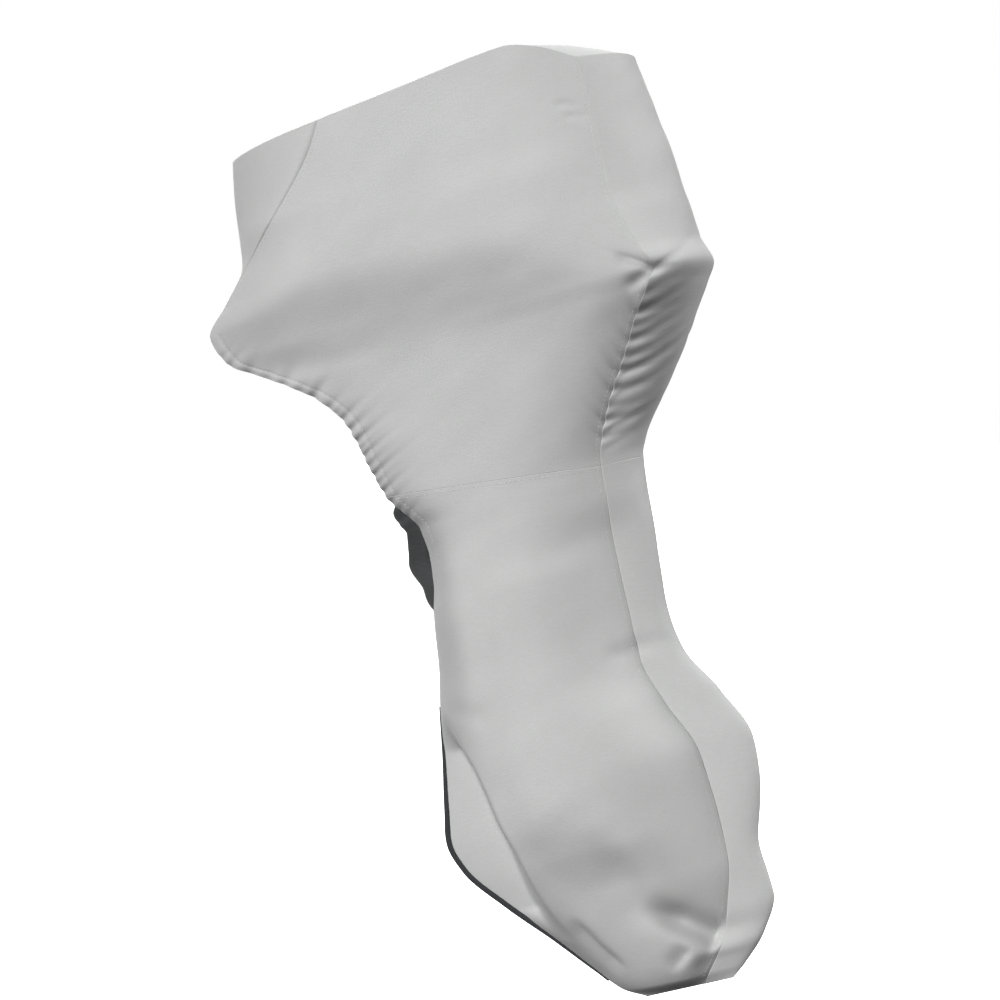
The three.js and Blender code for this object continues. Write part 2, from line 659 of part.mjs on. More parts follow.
// The narrow binding that closes the front edge of the bag: a flat bar that follows the edge
function bindingGeometry() {

	const rows = legRows.filter( ( row ) => row >= BINDING_START && row <= BINDING_END );
	const points = rows.map( ( row ) => sideVertex( 'port', row, 0 ) );
	const last = points.length - 1;
	const positions = [];
	points.forEach( ( point, k ) => {

		const run = points[ Math.min( k + 1, last ) ].clone().sub( points[ Math.max( k - 1, 0 ) ] );
		const ahead = new THREE.Vector3( run.z, 0, - run.x ).normalize();
		for ( const [ proud, side ] of [ [ 0, - 1 ], [ 0, 1 ], [ BINDING_THICK, 1 ], [ BINDING_THICK, - 1 ] ] ) {

			const corner = point.clone().addScaledVector( ahead, BINDING_GAP + proud );
			corner.y += side * BINDING_WIDTH / 2;
			positions.push( ...corner.toArray() );

		}

	} );
	const index = [ 0, 1, 2, 0, 2, 3 ];
	for ( let k = 0; k < last; k ++ ) {

		for ( let edge = 0; edge < 4; edge ++ ) {

			const [ a, b ] = [ k * 4 + edge, k * 4 + ( edge + 1 ) % 4 ];
			index.push( a, b + 4, b, a, a + 4, b + 4 );

		}

	}
	const end = last * 4;
	index.push( end, end + 2, end + 1, end, end + 3, end + 2 );
	const geometry = new THREE.BufferGeometry();
	geometry.setAttribute( 'position', new THREE.Float32BufferAttribute( positions, 3 ) );
	geometry.setIndex( index );
	return geometry;

}

const cloth = new THREE.MeshStandardMaterial( { color: CLOTH_GREY, roughness: 0.85, metalness: 0, name: 'woven_polyester' } );
const tape = new THREE.MeshStandardMaterial( { color: BINDING_GREY, roughness: 0.9, metalness: 0, name: 'binding_tape' } );

// The cover hangs in the motor's tilted frame, moved so that the rest under the top is the origin
const hung = new THREE.Group();
hung.rotation.y = THREE.MathUtils.degToRad( - MOTOR_TILT_DEG );
const normals = sharedNormals( PANELS );
for ( const item of PANELS ) {

	const mesh = new THREE.Mesh( panelGeometry( item, normals ), cloth );
	mesh.name = item.name;
	hung.add( mesh );

}
const binding = new THREE.Mesh( bindingGeometry(), tape );
binding.name = 'front_binding';
hung.add( binding );

const rest = topVertex( REST_ALONG, 0 );
rest.z -= CLOTH;
hung.position.copy( rest.applyEuler( hung.rotation ) ).negate();

const cover = new THREE.Group();
cover.add( hung );

export default cover;
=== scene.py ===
"""A full-length outboard motor cover of light grey woven cloth, as it hangs on a tilted motor.

The cover is sewn from side panels, a nose panel, a top panel and gussets, with a gathered hem round its
open front and a dark binding on the lower front edge. The form is worked out in the motor's own frame,
in millimetres: u runs aft, w is the half width to each side, and down is the depth below the hood top.
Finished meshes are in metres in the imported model's frame: +X aft, +Y starboard, +Z up.
"""

import logging
import math
from collections.abc import Callable
from dataclasses import dataclass, field
from enum import Enum

import bpy
import numpy as np
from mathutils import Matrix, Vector


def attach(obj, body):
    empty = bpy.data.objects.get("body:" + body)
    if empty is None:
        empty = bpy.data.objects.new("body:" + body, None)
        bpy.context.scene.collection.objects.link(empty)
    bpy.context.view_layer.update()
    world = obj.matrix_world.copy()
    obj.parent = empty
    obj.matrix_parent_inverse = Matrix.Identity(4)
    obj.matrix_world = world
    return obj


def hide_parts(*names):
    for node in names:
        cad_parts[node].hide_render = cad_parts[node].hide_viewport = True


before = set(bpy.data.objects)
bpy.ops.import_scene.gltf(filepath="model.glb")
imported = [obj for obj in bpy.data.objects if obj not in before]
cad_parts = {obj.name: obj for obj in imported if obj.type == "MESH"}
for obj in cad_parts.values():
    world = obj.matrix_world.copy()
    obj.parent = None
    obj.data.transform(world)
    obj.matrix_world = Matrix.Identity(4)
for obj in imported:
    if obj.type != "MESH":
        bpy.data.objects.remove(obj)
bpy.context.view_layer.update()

log = logging.getLogger("motor_cover")

# From a panel's rows and places to points
Surface = Callable[[np.ndarray, np.ndarray], np.ndarray]

METRE = 1000.0  # millimetres
CLOTH_THICKNESS = 0.0012  # metres: the cloth with its coating, and the slack of its layers
MOTOR_TILT = math.radians(15)
CHIN_DOWN = 281.0
THROAT_DOWN = 762.0
WAIST_DOWN = 600.0
FOOT_DOWN = 1398.0

# Sections down the motor, in millimetres; crownAlong is where the side is widest, 0 at its front edge
SECTIONS = (
    # down, frontU, frontW, aftU, aftW, crownW, crownAlong, backU
    (0, -78, 150, 295, 132, 158, 0.41, 353),
    (60, -112, 156, 305, 132, 164, 0.41, 360),
    (140, -192, 150, 306, 136, 173, 0.4, 369),
    (198, -267, 112, 303, 142, 178, 0.4, 378),
    (242, -316, 98, 304, 147, 177, 0.4, 380),
    (281, -358, 88, 311, 152, 172, 0.43, 383),
    (325, -341, 95, 323, 154, 167, 0.47, 385),
    (361, -287, 108, 336, 154, 162, 0.5, 395),
    (389, -244, 117, 320, 145, 158, 0.52, 380),
    (425, -202, 117, 290, 130, 155, 0.52, 356),
    (470, -175, 112, 258, 112, 152, 0.5, 326),
    (530, -164, 102, 214, 93, 149, 0.46, 280),
    (585, -151, 90, 183, 77, 147, 0.42, 235),
    (612, -134, 82, 174, 70, 145, 0.4, 222),
    (640, -118, 72, 170, 65, 143, 0.38, 217),
    (665, -118, 62, 167, 61, 141, 0.37, 215),
    (720, -130, 34, 158, 48, 138, 0.34, 212),
    (762, -151, 0, 155, 44, 137, 0.33, 207),
    (850, -166, 0, 151, 39, 137, 0.31, 201),
    (905, -179, 0, 149, 38, 139, 0.31, 207),
    (980, -193, 0, 169, 36, 140, 0.32, 245),
    (1060, -210, 0, 199, 33, 137, 0.33, 276),
    (1110, -219, 0, 202, 31, 132, 0.34, 272),
    (1153, -206, 0, 203, 30, 124, 0.36, 262),
    (1220, -154, 0, 200, 29, 106, 0.39, 244),
    (1287, -92, 0, 181, 27, 84, 0.42, 247),
    (1342, -46, 0, 158, 27, 62, 0.45, 219),
    (1380, -12, 0, 127, 16, 38, 0.46, 180),
    (1398, 22, 0, 112, 2, 0, 0.5, 156),
)
# Middle line of the nose panel: down, u
NOSE = ((0, -278), (100, -297), (175, -303), (202, -305), (240, -340), (268, -364), (281, -362))
# Drop of the top edge below the highest point: along the side, drop
TOP_EDGE = ((0, 25), (0.31, 15), (0.76, 0), (0.88, 12), (1, 42))
# How far forward the far hem hangs of the near one: down, shift of u
FAR_HEM = ((470, 0), (560, -22), (615, -64), (680, -68), (728, -34), (762, 0))
# Line of the belt, where the hood turns under: along the side, down
BELT_LINE = ((0, 212), (0.07, 223), (0.23, 245), (0.5, 271), (0.66, 273), (0.83, 289), (1, 312))

# How much fuller (or flatter, below 0) the slack side hangs than its even curve
SWELL_ALONG = (0.15, 0.3, 0.45, 0.6, 0.75, 0.88)
SWELLS = (
    # down, then the swell at each of SWELL_ALONG
    (20, -2, -2, -1, 1.5, 6.5, 7),
    (120, 0.5, 0, 1, 2, 4.5, 7),
    (200, 6, 4, 2, 2.5, 5, 7),
    (260, 11, 5.5, 1, 1, 6, 7),
    (320, 5, 0.5, -3, -4.5, 0.5, 7),
    (380, -3, -3.5, -5.5, -6, -2.5, 6),
    (440, -3, -6, -8.5, -8, -4.5, 0),
    (500, -1.5, -6.5, -9, -9, -6, -2.5),
    (570, -5.5, -9, -9.5, -8.5, -6, -2),
    (650, -3.5, -8.5, -8.5, -8, -6.5, -4),
    (740, -0.5, -2, -3, -4, -5.5, -4.5),
    (830, -3.5, 4, 1.5, 0, -3, -3),
    (920, -5, 3, 2, 2, 3, 3.5),
    (1000, -4, 4, 9.5, 11, 12.5, 9.5),
    (1080, -3, 1, 13.5, 16, 16, 9),
    (1150, -2, -3, 4, 10.5, 15, 5.5),
    (1220, -2, -6, -7, -5, 2.5, 0),
    (1290, -1, -3, -4, -4, -3, -2.5),
    (1350, 0, 0, 0, 0, 0, 0),
)


class Side(Enum):
    """The two sides of the cover, with the sign of their Y."""

    PORT = -1
    STARBOARD = 1


@dataclass(frozen=True)
class Fold:
    """A soft trough along a bent line of a side panel, or a ridge where the depth is negative.

    Sizes are in millimetres in the motor's frame. The path's points are (u, down). Its two walls have
    their own widths, the first to the left of the way it runs, seen from port with aft to the right.
    The ends are the shares of its length over which it fades in and out.
    """

    path: tuple[tuple[float, float], ...]
    depth: float
    widths: tuple[float, float]
    ends: tuple[float, float] = (0.35, 0.35)

    def at(self, u: np.ndarray, down: np.ndarray) -> np.ndarray:
        """How deep the fold is at each place.

        Args:
            u: how far aft each place is.
            down: how deep each place is.

        Returns:
            The depths in millimetres, in the places' shape.
        """
        points = np.array(self.path, float)
        lengths = np.linalg.norm(np.diff(points, axis=0), axis=1)
        best = np.full(np.broadcast(u, down).shape, np.inf)
        hand, run = np.zeros(best.shape), np.zeros(best.shape)
        for k, length in enumerate(lengths):
            (u0, d0), (du, dd) = points[k], points[k + 1] - points[k]
            t = np.clip(((u - u0) * du + (down - d0) * dd) / length**2, 0, 1)
            off = np.hypot(u - u0 - t * du, down - d0 - t * dd)
            nearer = off < best
            best = np.where(nearer, off, best)
            hand = np.where(nearer, du * (down - d0) - dd * (u - u0), hand)
            run = np.where(nearer, (lengths[:k].sum() + t * length) / lengths.sum(), run)
        fade = 1.0
        for end, share in zip((run, 1 - run), self.ends):
            fade = fade * (np.sin(np.clip(end / share, 0, 1) * math.pi / 2) ** 2 if share else 1.0)
        width = np.where(hand < 0, *self.widths)
        return self.depth * fade * bell(best, width)


@dataclass(frozen=True)
class Gather:
    """One pucker that runs in from a hem or a seam, in millimetres."""

    down: float
    depth: float
    reach: float


PORT_FOLDS = (
    # The broad second crease
    Fold(((30, 1120), (50, 1190), (62, 1250), (72, 1310)), 8, (30, 26), (0.4, 0.3)),
    # The short sharp crease by the foot
    Fold(((-42, 1248), (-16, 1302), (14, 1352)), 8, (8, 20), (0.3, 0.3)),
    # Cloth drawn in ahead of the leg gusset, with two small folds that fan out below it
    Fold(((70, 1250), (102, 1284), (134, 1316), (162, 1344)), 32, (24, 16), (0.5, 0.16)),
    Fold(((152, 1350), (134, 1362), (106, 1382)), 6, (9, 13), (0.4, 0.5)),
    Fold(((122, 1330), (98, 1348), (72, 1366)), 7, (9, 15), (0.35, 0.5)),
    # Pulls towards the aft corner of the hood
    Fold(((284, 384), (306, 380), (338, 368)), 8, (9, 9), (0.5, 0)),
    Fold(((284, 336), (310, 348), (334, 360)), 6, (9, 9), (0.5, 0)),
    # Faint wrinkles below the top aft corner
    Fold(((252, 102), (274, 104), (294, 116)), 1.6, (6, 6)),
    Fold(((262, 124), (284, 124), (302, 134)), 1.4, (6, 6)),
    # Soft hollow of the bent leg, above the bag
    Fold(((104, 889), (130, 893), (160, 888)), 5, (14, 14), (0.4, 0.1)),
    Fold(((-150, 902), (-105, 922), (-50, 940)), 2.5, (16, 16)),
)
STARBOARD_FOLDS = (
    Fold(((0, 1110), (20, 1200), (36, 1300)), 6, (24, 28), (0.4, 0.3)),
    Fold(((-40, 1236), (-14, 1280), (12, 1318)), 6, (14, 9)),
    Fold(((92, 1262), (126, 1292), (156, 1316)), 15, (14, 28), (0.4, 0.1)),
    Fold(((276, 350), (300, 358), (330, 364)), 8, (12, 12), (0.5, 0)),
)
# Ahead of this line the bag's front edge is a flat flap: u, down
FLAP_LINE = (
    (-182, 915), (-174, 932), (-164, 970), (-150, 1008), (-141, 1051), (-134, 1094),
    (-125, 1132), (-120, 1167), (-114, 1212), (-101, 1254), (-84, 1290),
)
FAR_FLAP_SHIFT = -12.0  # the far side's flap is this much narrower
HEM_GATHERS = tuple(
    Gather(*row)
    for row in (
        (316, 4, 18),
        (330, 7, 20),
        (349, 8, 24),
        (366, 5, 16),
        (381, 9, 26),
        (398, 5, 18),
        (411, 11, 28),
        (433, 7, 20),
        (444, 5, 16),
        (455, 9, 26),
        (473, 8, 22),
        (492, 10, 24),
        (504, 5, 16),
        (516, 9, 24),
        (532, 6, 18),
        (547, 9, 26),
        (560, 5, 16),
        (574, 8, 22),
        (592, 7, 18),
        (606, 5, 16),
        (618, 7, 20),
    )
)
SEAM_GATHERS = tuple(
    Gather(*row)
    for row in (
        (369, 10, 44),
        (398, 4, 26),
        (421, 7, 32),
        (438, 4, 24),
        (455, 7, 34),
        (476, 6, 30),
        (494, 9, 52),
        (518, 7, 34),
        (540, 4, 24),
        (558, 7, 36),
        (580, 4, 24),
    )
)


def bell(distance: np.ndarray, width: float | np.ndarray) -> np.ndarray:
    """A soft bump of height 1 that falls off over the given width."""
    return np.exp(-((distance / width) ** 2))


class SmoothLine:
    """A smooth curve through a table's rows that never overshoots between them."""

    def __init__(self, table: tuple, column: int = 1) -> None:
        """Keeps the first column as the place and the given column as the value.

        Args:
            table: rows of numbers, the first of them rising.
            column: which number of a row the curve gives.
        """
        self.x = np.array([row[0] for row in table], float)
        self.y = np.array([row[column] for row in table], float)
        slope = np.diff(self.y) / np.diff(self.x)
        self.tangent = np.empty_like(self.y)
        self.tangent[0], self.tangent[-1] = slope[0], slope[-1]
        for k in range(1, len(self.x) - 1):
            before, after = slope[k - 1], slope[k]
            turns = before * after <= 0
            self.tangent[k] = 0 if turns else 2 * before * after / (before + after)

    def __call__(self, at: np.ndarray | float) -> np.ndarray:
        """The curve's value.

        Args:
            at: one place or an array of them.

        Returns:
            The values at those places.
        """
        at = np.clip(np.asarray(at, float), self.x[0], self.x[-1])
        k = np.clip(np.searchsorted(self.x, at) - 1, 0, len(self.x) - 2)
        h = self.x[k + 1] - self.x[k]
        t = (at - self.x[k]) / h
        return (
            (2 * t**3 - 3 * t**2 + 1) * self.y[k]
            + (t**3 - 2 * t**2 + t) * h * self.tangent[k]
            + (3 * t**2 - 2 * t**3) * self.y[k + 1]
            + (t**3 - t**2) * h * self.tangent[k + 1]
        )


@dataclass
class CoverForm:
    """The hanging form of the whole cover, as functions of place on each panel.

    Lengths are in millimetres in the motor's frame. A fullness is the power of a curve across a panel: the
    higher it is, the flatter the middle and the rounder the edges.
    """

    # The waist seam's and the top edge's slopes, and how far up and down they reach
    waist_slant: float = 37.0
    waist_reach: float = 130.0
    top_reach: float = 130.0
    top_crown: float = 9.0
    # Where the hood rests on the motor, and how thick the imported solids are
    rest_along: float = 0.49
    solid_cloth: float = 2.0
    side_fullness: float = 2.5
    aft_fullness: float = 2.8
    nose_fullness: float = 1.45
    gusset_fullness: float = 2.2
    # The belt where the hood turns under
    belt_bulge: float = 4.0
    belt_squareness: int = 8
    belt_above: float = 75.0
    belt_below: float = 50.0
    # Gathers of the hem and of the aft seam, and how they run on into the gusset
    hem_gather_width: float = 5.0
    seam_gather_width: float = 6.5
    gather_slant: float = 0.35
    far_gather_shift: float = 9.0
    seam_gather_side: float = 0.35
    gusset_gather: float = 0.85
    gusset_gather_start: float = 12.0
    # Folds are weaker where the cover is thinner than this, and never bring its sides closer than the least
    narrow_fold_half: float = 40.0
    fold_reach: float = 22.0
    least_half: float = 6.0
    # The elastic casing of the hem
    casing_width: float = 20.0
    casing_rise: float = 0.7
    casing_groove: float = 0.7
    groove_width: float = 3.0
    # How flat the flap lies, and how wide its wall is
    flap_press: float = 0.82
    flap_wall: float = 42.0
    flap_fade: float = 60.0
    # The slack's slow waves
    seed: int = 11
    wavelengths: tuple[int, ...] = (210, 160, 120, 95, 70, 52)
    slack_height: float = 0.55
    slack_turn: float = 2.4
    slack_fade: float = 0.2
    gusset_slack_fade: float = 40.0
    # Rate, heading, phase and height of each wave
    waves: list[tuple[float, float, float, float]] = field(default_factory=list)

    def __post_init__(self) -> None:
        """Makes the smooth lines of the tables and the slow unevenness of hanging cloth."""
        columns = [SmoothLine(SECTIONS, k) for k in range(1, 8)]
        self.front_u, self.front_w, self.aft_u, self.aft_w = columns[:4]
        self.crown_w, self.crown_along, self.back_u = columns[4:]
        self.nose_u = SmoothLine(NOSE)
        self.top_drop = SmoothLine(TOP_EDGE)
        self.far_hem = SmoothLine(FAR_HEM)
        self.belt_down = SmoothLine(BELT_LINE)
        self.swell_lines = [SmoothLine(SWELLS, k + 1) for k in range(len(SWELL_ALONG))]
        self.flap_u = SmoothLine(tuple((down, u) for u, down in FLAP_LINE))
        rng = np.random.default_rng(self.seed)
        for wavelength in self.wavelengths:
            heading, phase = rng.uniform(0, math.pi), rng.uniform(0, 2 * math.pi)
            self.waves.append((2 * math.pi / wavelength, heading, phase, wavelength / self.wavelengths[0]))

    def swell(self, down: np.ndarray, along: np.ndarray) -> np.ndarray:
        """A smooth surface through the table of swells, 0 at both edges of the side.

        Args:
            down: depth of each place.
            along: 0 at the front edge and 1 at the aft seam.

        Returns:
            How far the cloth stands out of its even curve at each place.
        """
        down, along = np.broadcast_arrays(down, along)
        x = np.array((0.0, *SWELL_ALONG, 1.0))
        y = np.stack([np.zeros(down.shape), *(line(down) for line in self.swell_lines), np.zeros(down.shape)])
        slope = np.moveaxis(np.diff(y, axis=0), 0, -1) / np.diff(x)
        slope = np.moveaxis(slope, -1, 0)
        tangent = np.concatenate([slope[:1], (slope[:-1] + slope[1:]) / 2, slope[-1:]])
        k = np.clip(np.searchsorted(x, along) - 1, 0, len(x) - 2)
        h = x[k + 1] - x[k]
        t = (along - x[k]) / h
        y0, y1 = (np.take_along_axis(y, at[None], axis=0)[0] for at in (k, k + 1))
        m0, m1 = (np.take_along_axis(tangent, at[None], axis=0)[0] for at in (k, k + 1))
        start = (2 * t**3 - 3 * t**2 + 1) * y0 + (t**3 - 2 * t**2 + t) * h * m0
        return start + (3 * t**2 - 2 * t**3) * y1 + (t**3 - t**2) * h * m1

    def unevenness(self, u: np.ndarray, down: np.ndarray, side: Side) -> np.ndarray:
        """Slow waves of slack cloth, about a millimetre high.

        Args:
            u: how far aft each place is.
            down: how deep each place is.
            side: the two sides' waves differ.

        Returns:
            The height of the waves at each place.
        """
        total = np.zeros(np.broadcast(u, down).shape)
        for rate, heading, phase, height in self.waves:
            run = u * math.cos(heading) + down * math.sin(heading)
            total += height * np.sin(rate * run + phase + self.slack_turn * side.value)
        return self.slack_height * total

    def gather_depth(
        self, gathers: tuple[Gather, ...], down: np.ndarray, inward: np.ndarray, side: Side
    ) -> np.ndarray:
        """The sum of an edge's gathers.

        Args:
            gathers: the puckers of that edge.
            down: depth of each place.
            inward: distance of each place from the edge.
            side: the far side's gathers are shifted a little, so the two differ.

        Returns:
            The depth of the gathers at each place.
        """
        width = self.hem_gather_width if gathers is HEM_GATHERS else self.seam_gather_width
        total = np.zeros(np.broadcast(down, inward).shape)
        for gather in gathers:
            shift = 0 if side is Side.PORT else self.far_gather_shift * math.sin(gather.down)
            line = down - gather.down - shift + self.gather_slant * inward
            total += gather.depth * bell(line, width) * np.exp(-inward / gather.reach)
        return total

    def row_depth(self, row: np.ndarray, along: np.ndarray) -> np.ndarray:
        """Depth of a grid row, with the top edge's slope and the waist's slant.

        Args:
            row: depth of the row before its slope.
            along: 0 at the front edge and 1 at the aft seam.

        Returns:
            The true depth of each place.
        """
        top = self.top_drop(along) * np.maximum(0, 1 - row / self.top_reach)
        waist = self.waist_slant * (along - 0.5) * bell(row - WAIST_DOWN, self.waist_reach)
        return row + top + waist

    def side_points(
        self, side: Side, row: np.ndarray, along: np.ndarray, folded: bool = True
    ) -> np.ndarray:
        """Outer face of a side panel.

        Args:
            side: port or starboard.
            row: depth of the grid rows before their slope, broadcast against along.
            along: 0 at the front edge and 1 at the aft seam.
            folded: with the folds, the gathers and the unevenness, or smooth.

        Returns:
            Points of the motor's frame, the last axis holding u, y and -down.
        """
        down = self.row_depth(row, along)
        front = self.front_u(down) + (0 if side is Side.PORT else self.far_hem(down))
        chord = self.aft_u(down) - front
        u = front + chord * along
        straight = self.front_w(down) + (self.aft_w(down) - self.front_w(down)) * along
        crown = self.crown_along(down)
        bulge = self.crown_w(down) - self.front_w(down) * (1 - crown) - self.aft_w(down) * crown
        from_crown = np.where(along < crown, (crown - along) / crown, (along - crown) / (1 - crown))
        fullness = np.where(along < crown, self.side_fullness, self.aft_fullness)
        w = straight + bulge * (1 - from_crown**fullness)
        middle = np.abs(2 * along - 1)
        above = np.where(down < self.belt_down(along), self.belt_above, self.belt_below)
        belt = self.belt_bulge * bell(down - self.belt_down(along), above)
        belt = belt * (1 - middle**self.belt_squareness)
        w = w + np.where(down < WAIST_DOWN, belt, 0) + self.swell(down, along)
        past = u - self.flap_u(down) - (0 if side is Side.PORT else FAR_FLAP_SHIFT)
        rise = np.clip(past / self.flap_wall, 0, 1)
        below_start, above_end = down - FLAP_LINE[0][1], FLAP_LINE[-1][1] - down
        in_bag = np.clip(below_start / self.flap_fade, 0, 1) * np.clip(above_end / self.flap_fade, 0, 1)
        w = w * (1 - self.flap_press * in_bag * (1 - rise * rise * (3 - 2 * rise)))
        if folded:
            w = np.maximum(w - self.drawn_in(side, u, down, along, chord, w), np.minimum(w, self.least_half))
        closed = ((row >= FOOT_DOWN - 0.01) & (along < 1)) | ((row >= THROAT_DOWN) & (along == 0))
        w = np.where(closed, 0, np.maximum(0, w))
        return np.stack(np.broadcast_arrays(u, side.value * w, -down), axis=-1)

    def drawn_in(
        self,
        side: Side,
        u: np.ndarray,
        down: np.ndarray,
        along: np.ndarray,
        chord: np.ndarray,
        w: np.ndarray,
    ) -> np.ndarray:
        """How far the folds, gathers and unevenness draw a side panel in.

        Args:
            side: port or starboard.
            u: how far aft each place is.
            down: how deep each place is.
            along: 0 at the front edge and 1 at the aft seam.
            chord: the side's width from front to aft there.
            w: the smooth side's half width there.

        Returns:
            How much the half width shrinks at each place.
        """
        folds = PORT_FOLDS if side is Side.PORT else STARBOARD_FOLDS
        thin = np.minimum(1, np.maximum(w, 0) / self.narrow_fold_half)
        total = sum(fold.at(u, down) for fold in folds) * thin
        in_hem = (down > CHIN_DOWN) & (down < THROAT_DOWN)
        total = total + np.where(in_hem, self.gather_depth(HEM_GATHERS, down, along * chord, side), 0)
        total = total + np.where(in_hem, self.casing_depth(along * chord), 0)
        from_seam = (1 - along) * chord / self.seam_gather_side
        total = total + np.where(down < WAIST_DOWN, self.gather_depth(SEAM_GATHERS, down, from_seam, side), 0)
        fade = np.minimum(1, np.minimum(along, 1 - along) / self.slack_fade)
        return total - self.unevenness(u, down, side) * fade * thin

    def casing_depth(self, inward: np.ndarray) -> np.ndarray:
        """The hem's elastic casing: a low round band with a stitched groove behind it.

        Args:
            inward: distance of each place from the edge.

        Returns:
            How far the cloth is drawn in there, below 0 on the band.
        """
        band = bell(inward - self.casing_width / 2, self.casing_width / 3)
        groove = bell(inward - self.casing_width, self.groove_width)
        return self.casing_groove * groove - self.casing_rise * band

    def strip_points(
        self, row: np.ndarray, along: float, across: np.ndarray, middle: SmoothLine, proud: np.ndarray
    ) -> np.ndarray:
        """A strip whose edges are the side panels' edges and whose middle stands proud of them.

        Args:
            row: depth of the grid rows before their slope.
            along: which edge of the sides it joins, 0 front or 1 aft.
            across: -1 at the port edge and 1 at the starboard edge.
            middle: the u of its middle line at each depth.
            proud: 0 where the strip lies straight between its edges and 1 where it meets the middle line.

        Returns:
            Points of the motor's frame.
        """
        at = np.full_like(row, along)
        smooth = {side: self.side_points(side, row, at, folded=False) for side in Side}
        t = ((across + 1) / 2)[..., None]
        span = smooth[Side.STARBOARD] - smooth[Side.PORT]
        points = smooth[Side.PORT] + span * t
        # The side panels' folds die out over a short way into the strip
        reach = np.maximum(span[..., 1:2], 1.0)
        for side, inward in ((Side.PORT, t), (Side.STARBOARD, 1 - t)):
            fade = np.exp(-inward * reach / self.fold_reach) * (1 - inward)
            points += (self.side_points(side, row, at) - smooth[side]) * fade
        points[..., 0] += (middle(-points[..., 2]) - points[..., 0]) * proud
        return points

    def nose_points(self, row: np.ndarray, across: np.ndarray) -> np.ndarray:
        """Outer face of the nose panel."""
        proud = (1 - np.abs(across) ** self.nose_fullness) ** (1 / self.nose_fullness)
        return self.strip_points(row, 0.0, across, self.nose_u, proud)

    def gusset_points(self, row: np.ndarray, across: np.ndarray) -> np.ndarray:
        """Outer face of the aft gusset and of the leg gusset, with the gathers of their seams.

        Args:
            row: depth of the grid rows before their slope.
            across: -1 at the port edge and 1 at the starboard edge.

        Returns:
            Points of the motor's frame.
        """
        proud = 1 - np.abs(across) ** self.gusset_fullness
        points = self.strip_points(row, 1.0, across, self.back_u, proud)
        inward = (1 - np.abs(across)) * self.aft_w(row)
        fade = np.minimum(1, inward / self.gusset_gather_start)
        for side in Side:
            here = (across * side.value > 0) & (row < WAIST_DOWN)
            depth = self.gusset_gather * fade * self.gather_depth(SEAM_GATHERS, row, inward, side)
            points[..., 0] -= np.where(here, depth, 0)
        slack = self.unevenness(across * self.aft_w(row), row, Side.PORT)
        points[..., 0] += slack * np.minimum(1, inward / self.gusset_slack_fade)
        return points

    def top_points(self, along: np.ndarray, across: np.ndarray) -> np.ndarray:
        """Outer face of the top panel: a low crown inside the loop of the four top edges.

        Args:
            along: 0 at the nose and 1 at the aft gusset.
            across: -1 at the port edge and 1 at the starboard edge.

        Returns:
            Points of the motor's frame.
        """
        along, across = np.broadcast_arrays(along, across)
        zero = np.zeros_like(along)
        t = ((across + 1) / 2)[..., None]
        s = along[..., None]
        port = self.side_points(Side.PORT, zero, along)
        starboard = self.side_points(Side.STARBOARD, zero, along)
        nose = self.nose_points(zero, across)
        back = self.gusset_points(zero, across)
        corners = {
            (end, side): self.side_points(side, zero, np.full_like(along, end))
            for end in (0.0, 1.0)
            for side in Side
        }
        points = port * (1 - t) + starboard * t + nose * (1 - s) + back * s
        points -= corners[0.0, Side.PORT] * (1 - s) * (1 - t) + corners[0.0, Side.STARBOARD] * (1 - s) * t
        points -= corners[1.0, Side.PORT] * s * (1 - t) + corners[1.0, Side.STARBOARD] * s * t
        points[..., 2] += self.top_crown * (1 - (2 * along - 1) ** 2) * (1 - across**2)
        return points

    def to_frame(self, points: np.ndarray) -> np.ndarray:
        """Turns points of the motor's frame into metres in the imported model's frame."""
        return self.from_level(self.turn(points))

    def from_level(self, points: np.ndarray) -> np.ndarray:
        """Moves level points so that the hood rests on the origin, and turns millimetres into metres.

        Args:
            points: level points whose origin is the motor's.

        Returns:
            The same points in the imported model's frame.
        """
        rest = self.top_points(np.array([[self.rest_along]]), np.array([[0.0]]))[0, 0]
        rest[2] -= self.solid_cloth
        return (points - self.turn(rest)) / METRE

    def turn(self, points: np.ndarray) -> np.ndarray:
        """Tilts points from the motor's frame to the level one.

        Args:
            points: points along u, y and -down.

        Returns:
            The same points along level axes.
        """
        c, s = math.cos(MOTOR_TILT), math.sin(MOTOR_TILT)
        u, y, z = points[..., 0], points[..., 1], points[..., 2]
        return np.stack([u * c - z * s, y, u * s + z * c], axis=-1)


def spread(count: int, ease: float) -> np.ndarray:
    """Places from 0 to 1 that crowd towards both ends.

    Args:
        count: how many steps.
        ease: 0 spaces them evenly, 1 crowds them most.

    Returns:
        The places, count + 1 of them.
    """
    t = np.linspace(0, 1, count + 1)
    return (1 - ease) * t + ease * (1 - np.cos(math.pi * t)) / 2


def unit(vectors: np.ndarray) -> np.ndarray:
    """The same ways, each of length 1."""
    return vectors / np.maximum(1e-12, np.linalg.norm(vectors, axis=-1, keepdims=True))


def wave_scale(period_mm: float) -> float:
    """The scale that sets a wave texture's bands that far apart; its period is 2 pi / 20 at scale 1."""
    return 2 * math.pi / 20 / (period_mm / METRE)


def srgb(code: str) -> tuple[float, float, float, float]:
    """A hex sRGB colour as the linear one that the shaders use.

    Args:
        code: # and six hex digits.

    Returns:
        Red, green, blue and an alpha of 1.
    """
    parts = [int(code[k : k + 2], 16) / 255 for k in (1, 3, 5)]
    linear = [c / 12.92 if c <= 0.04045 else ((c + 0.055) / 1.055) ** 2.4 for c in parts]
    return (*linear, 1.0)


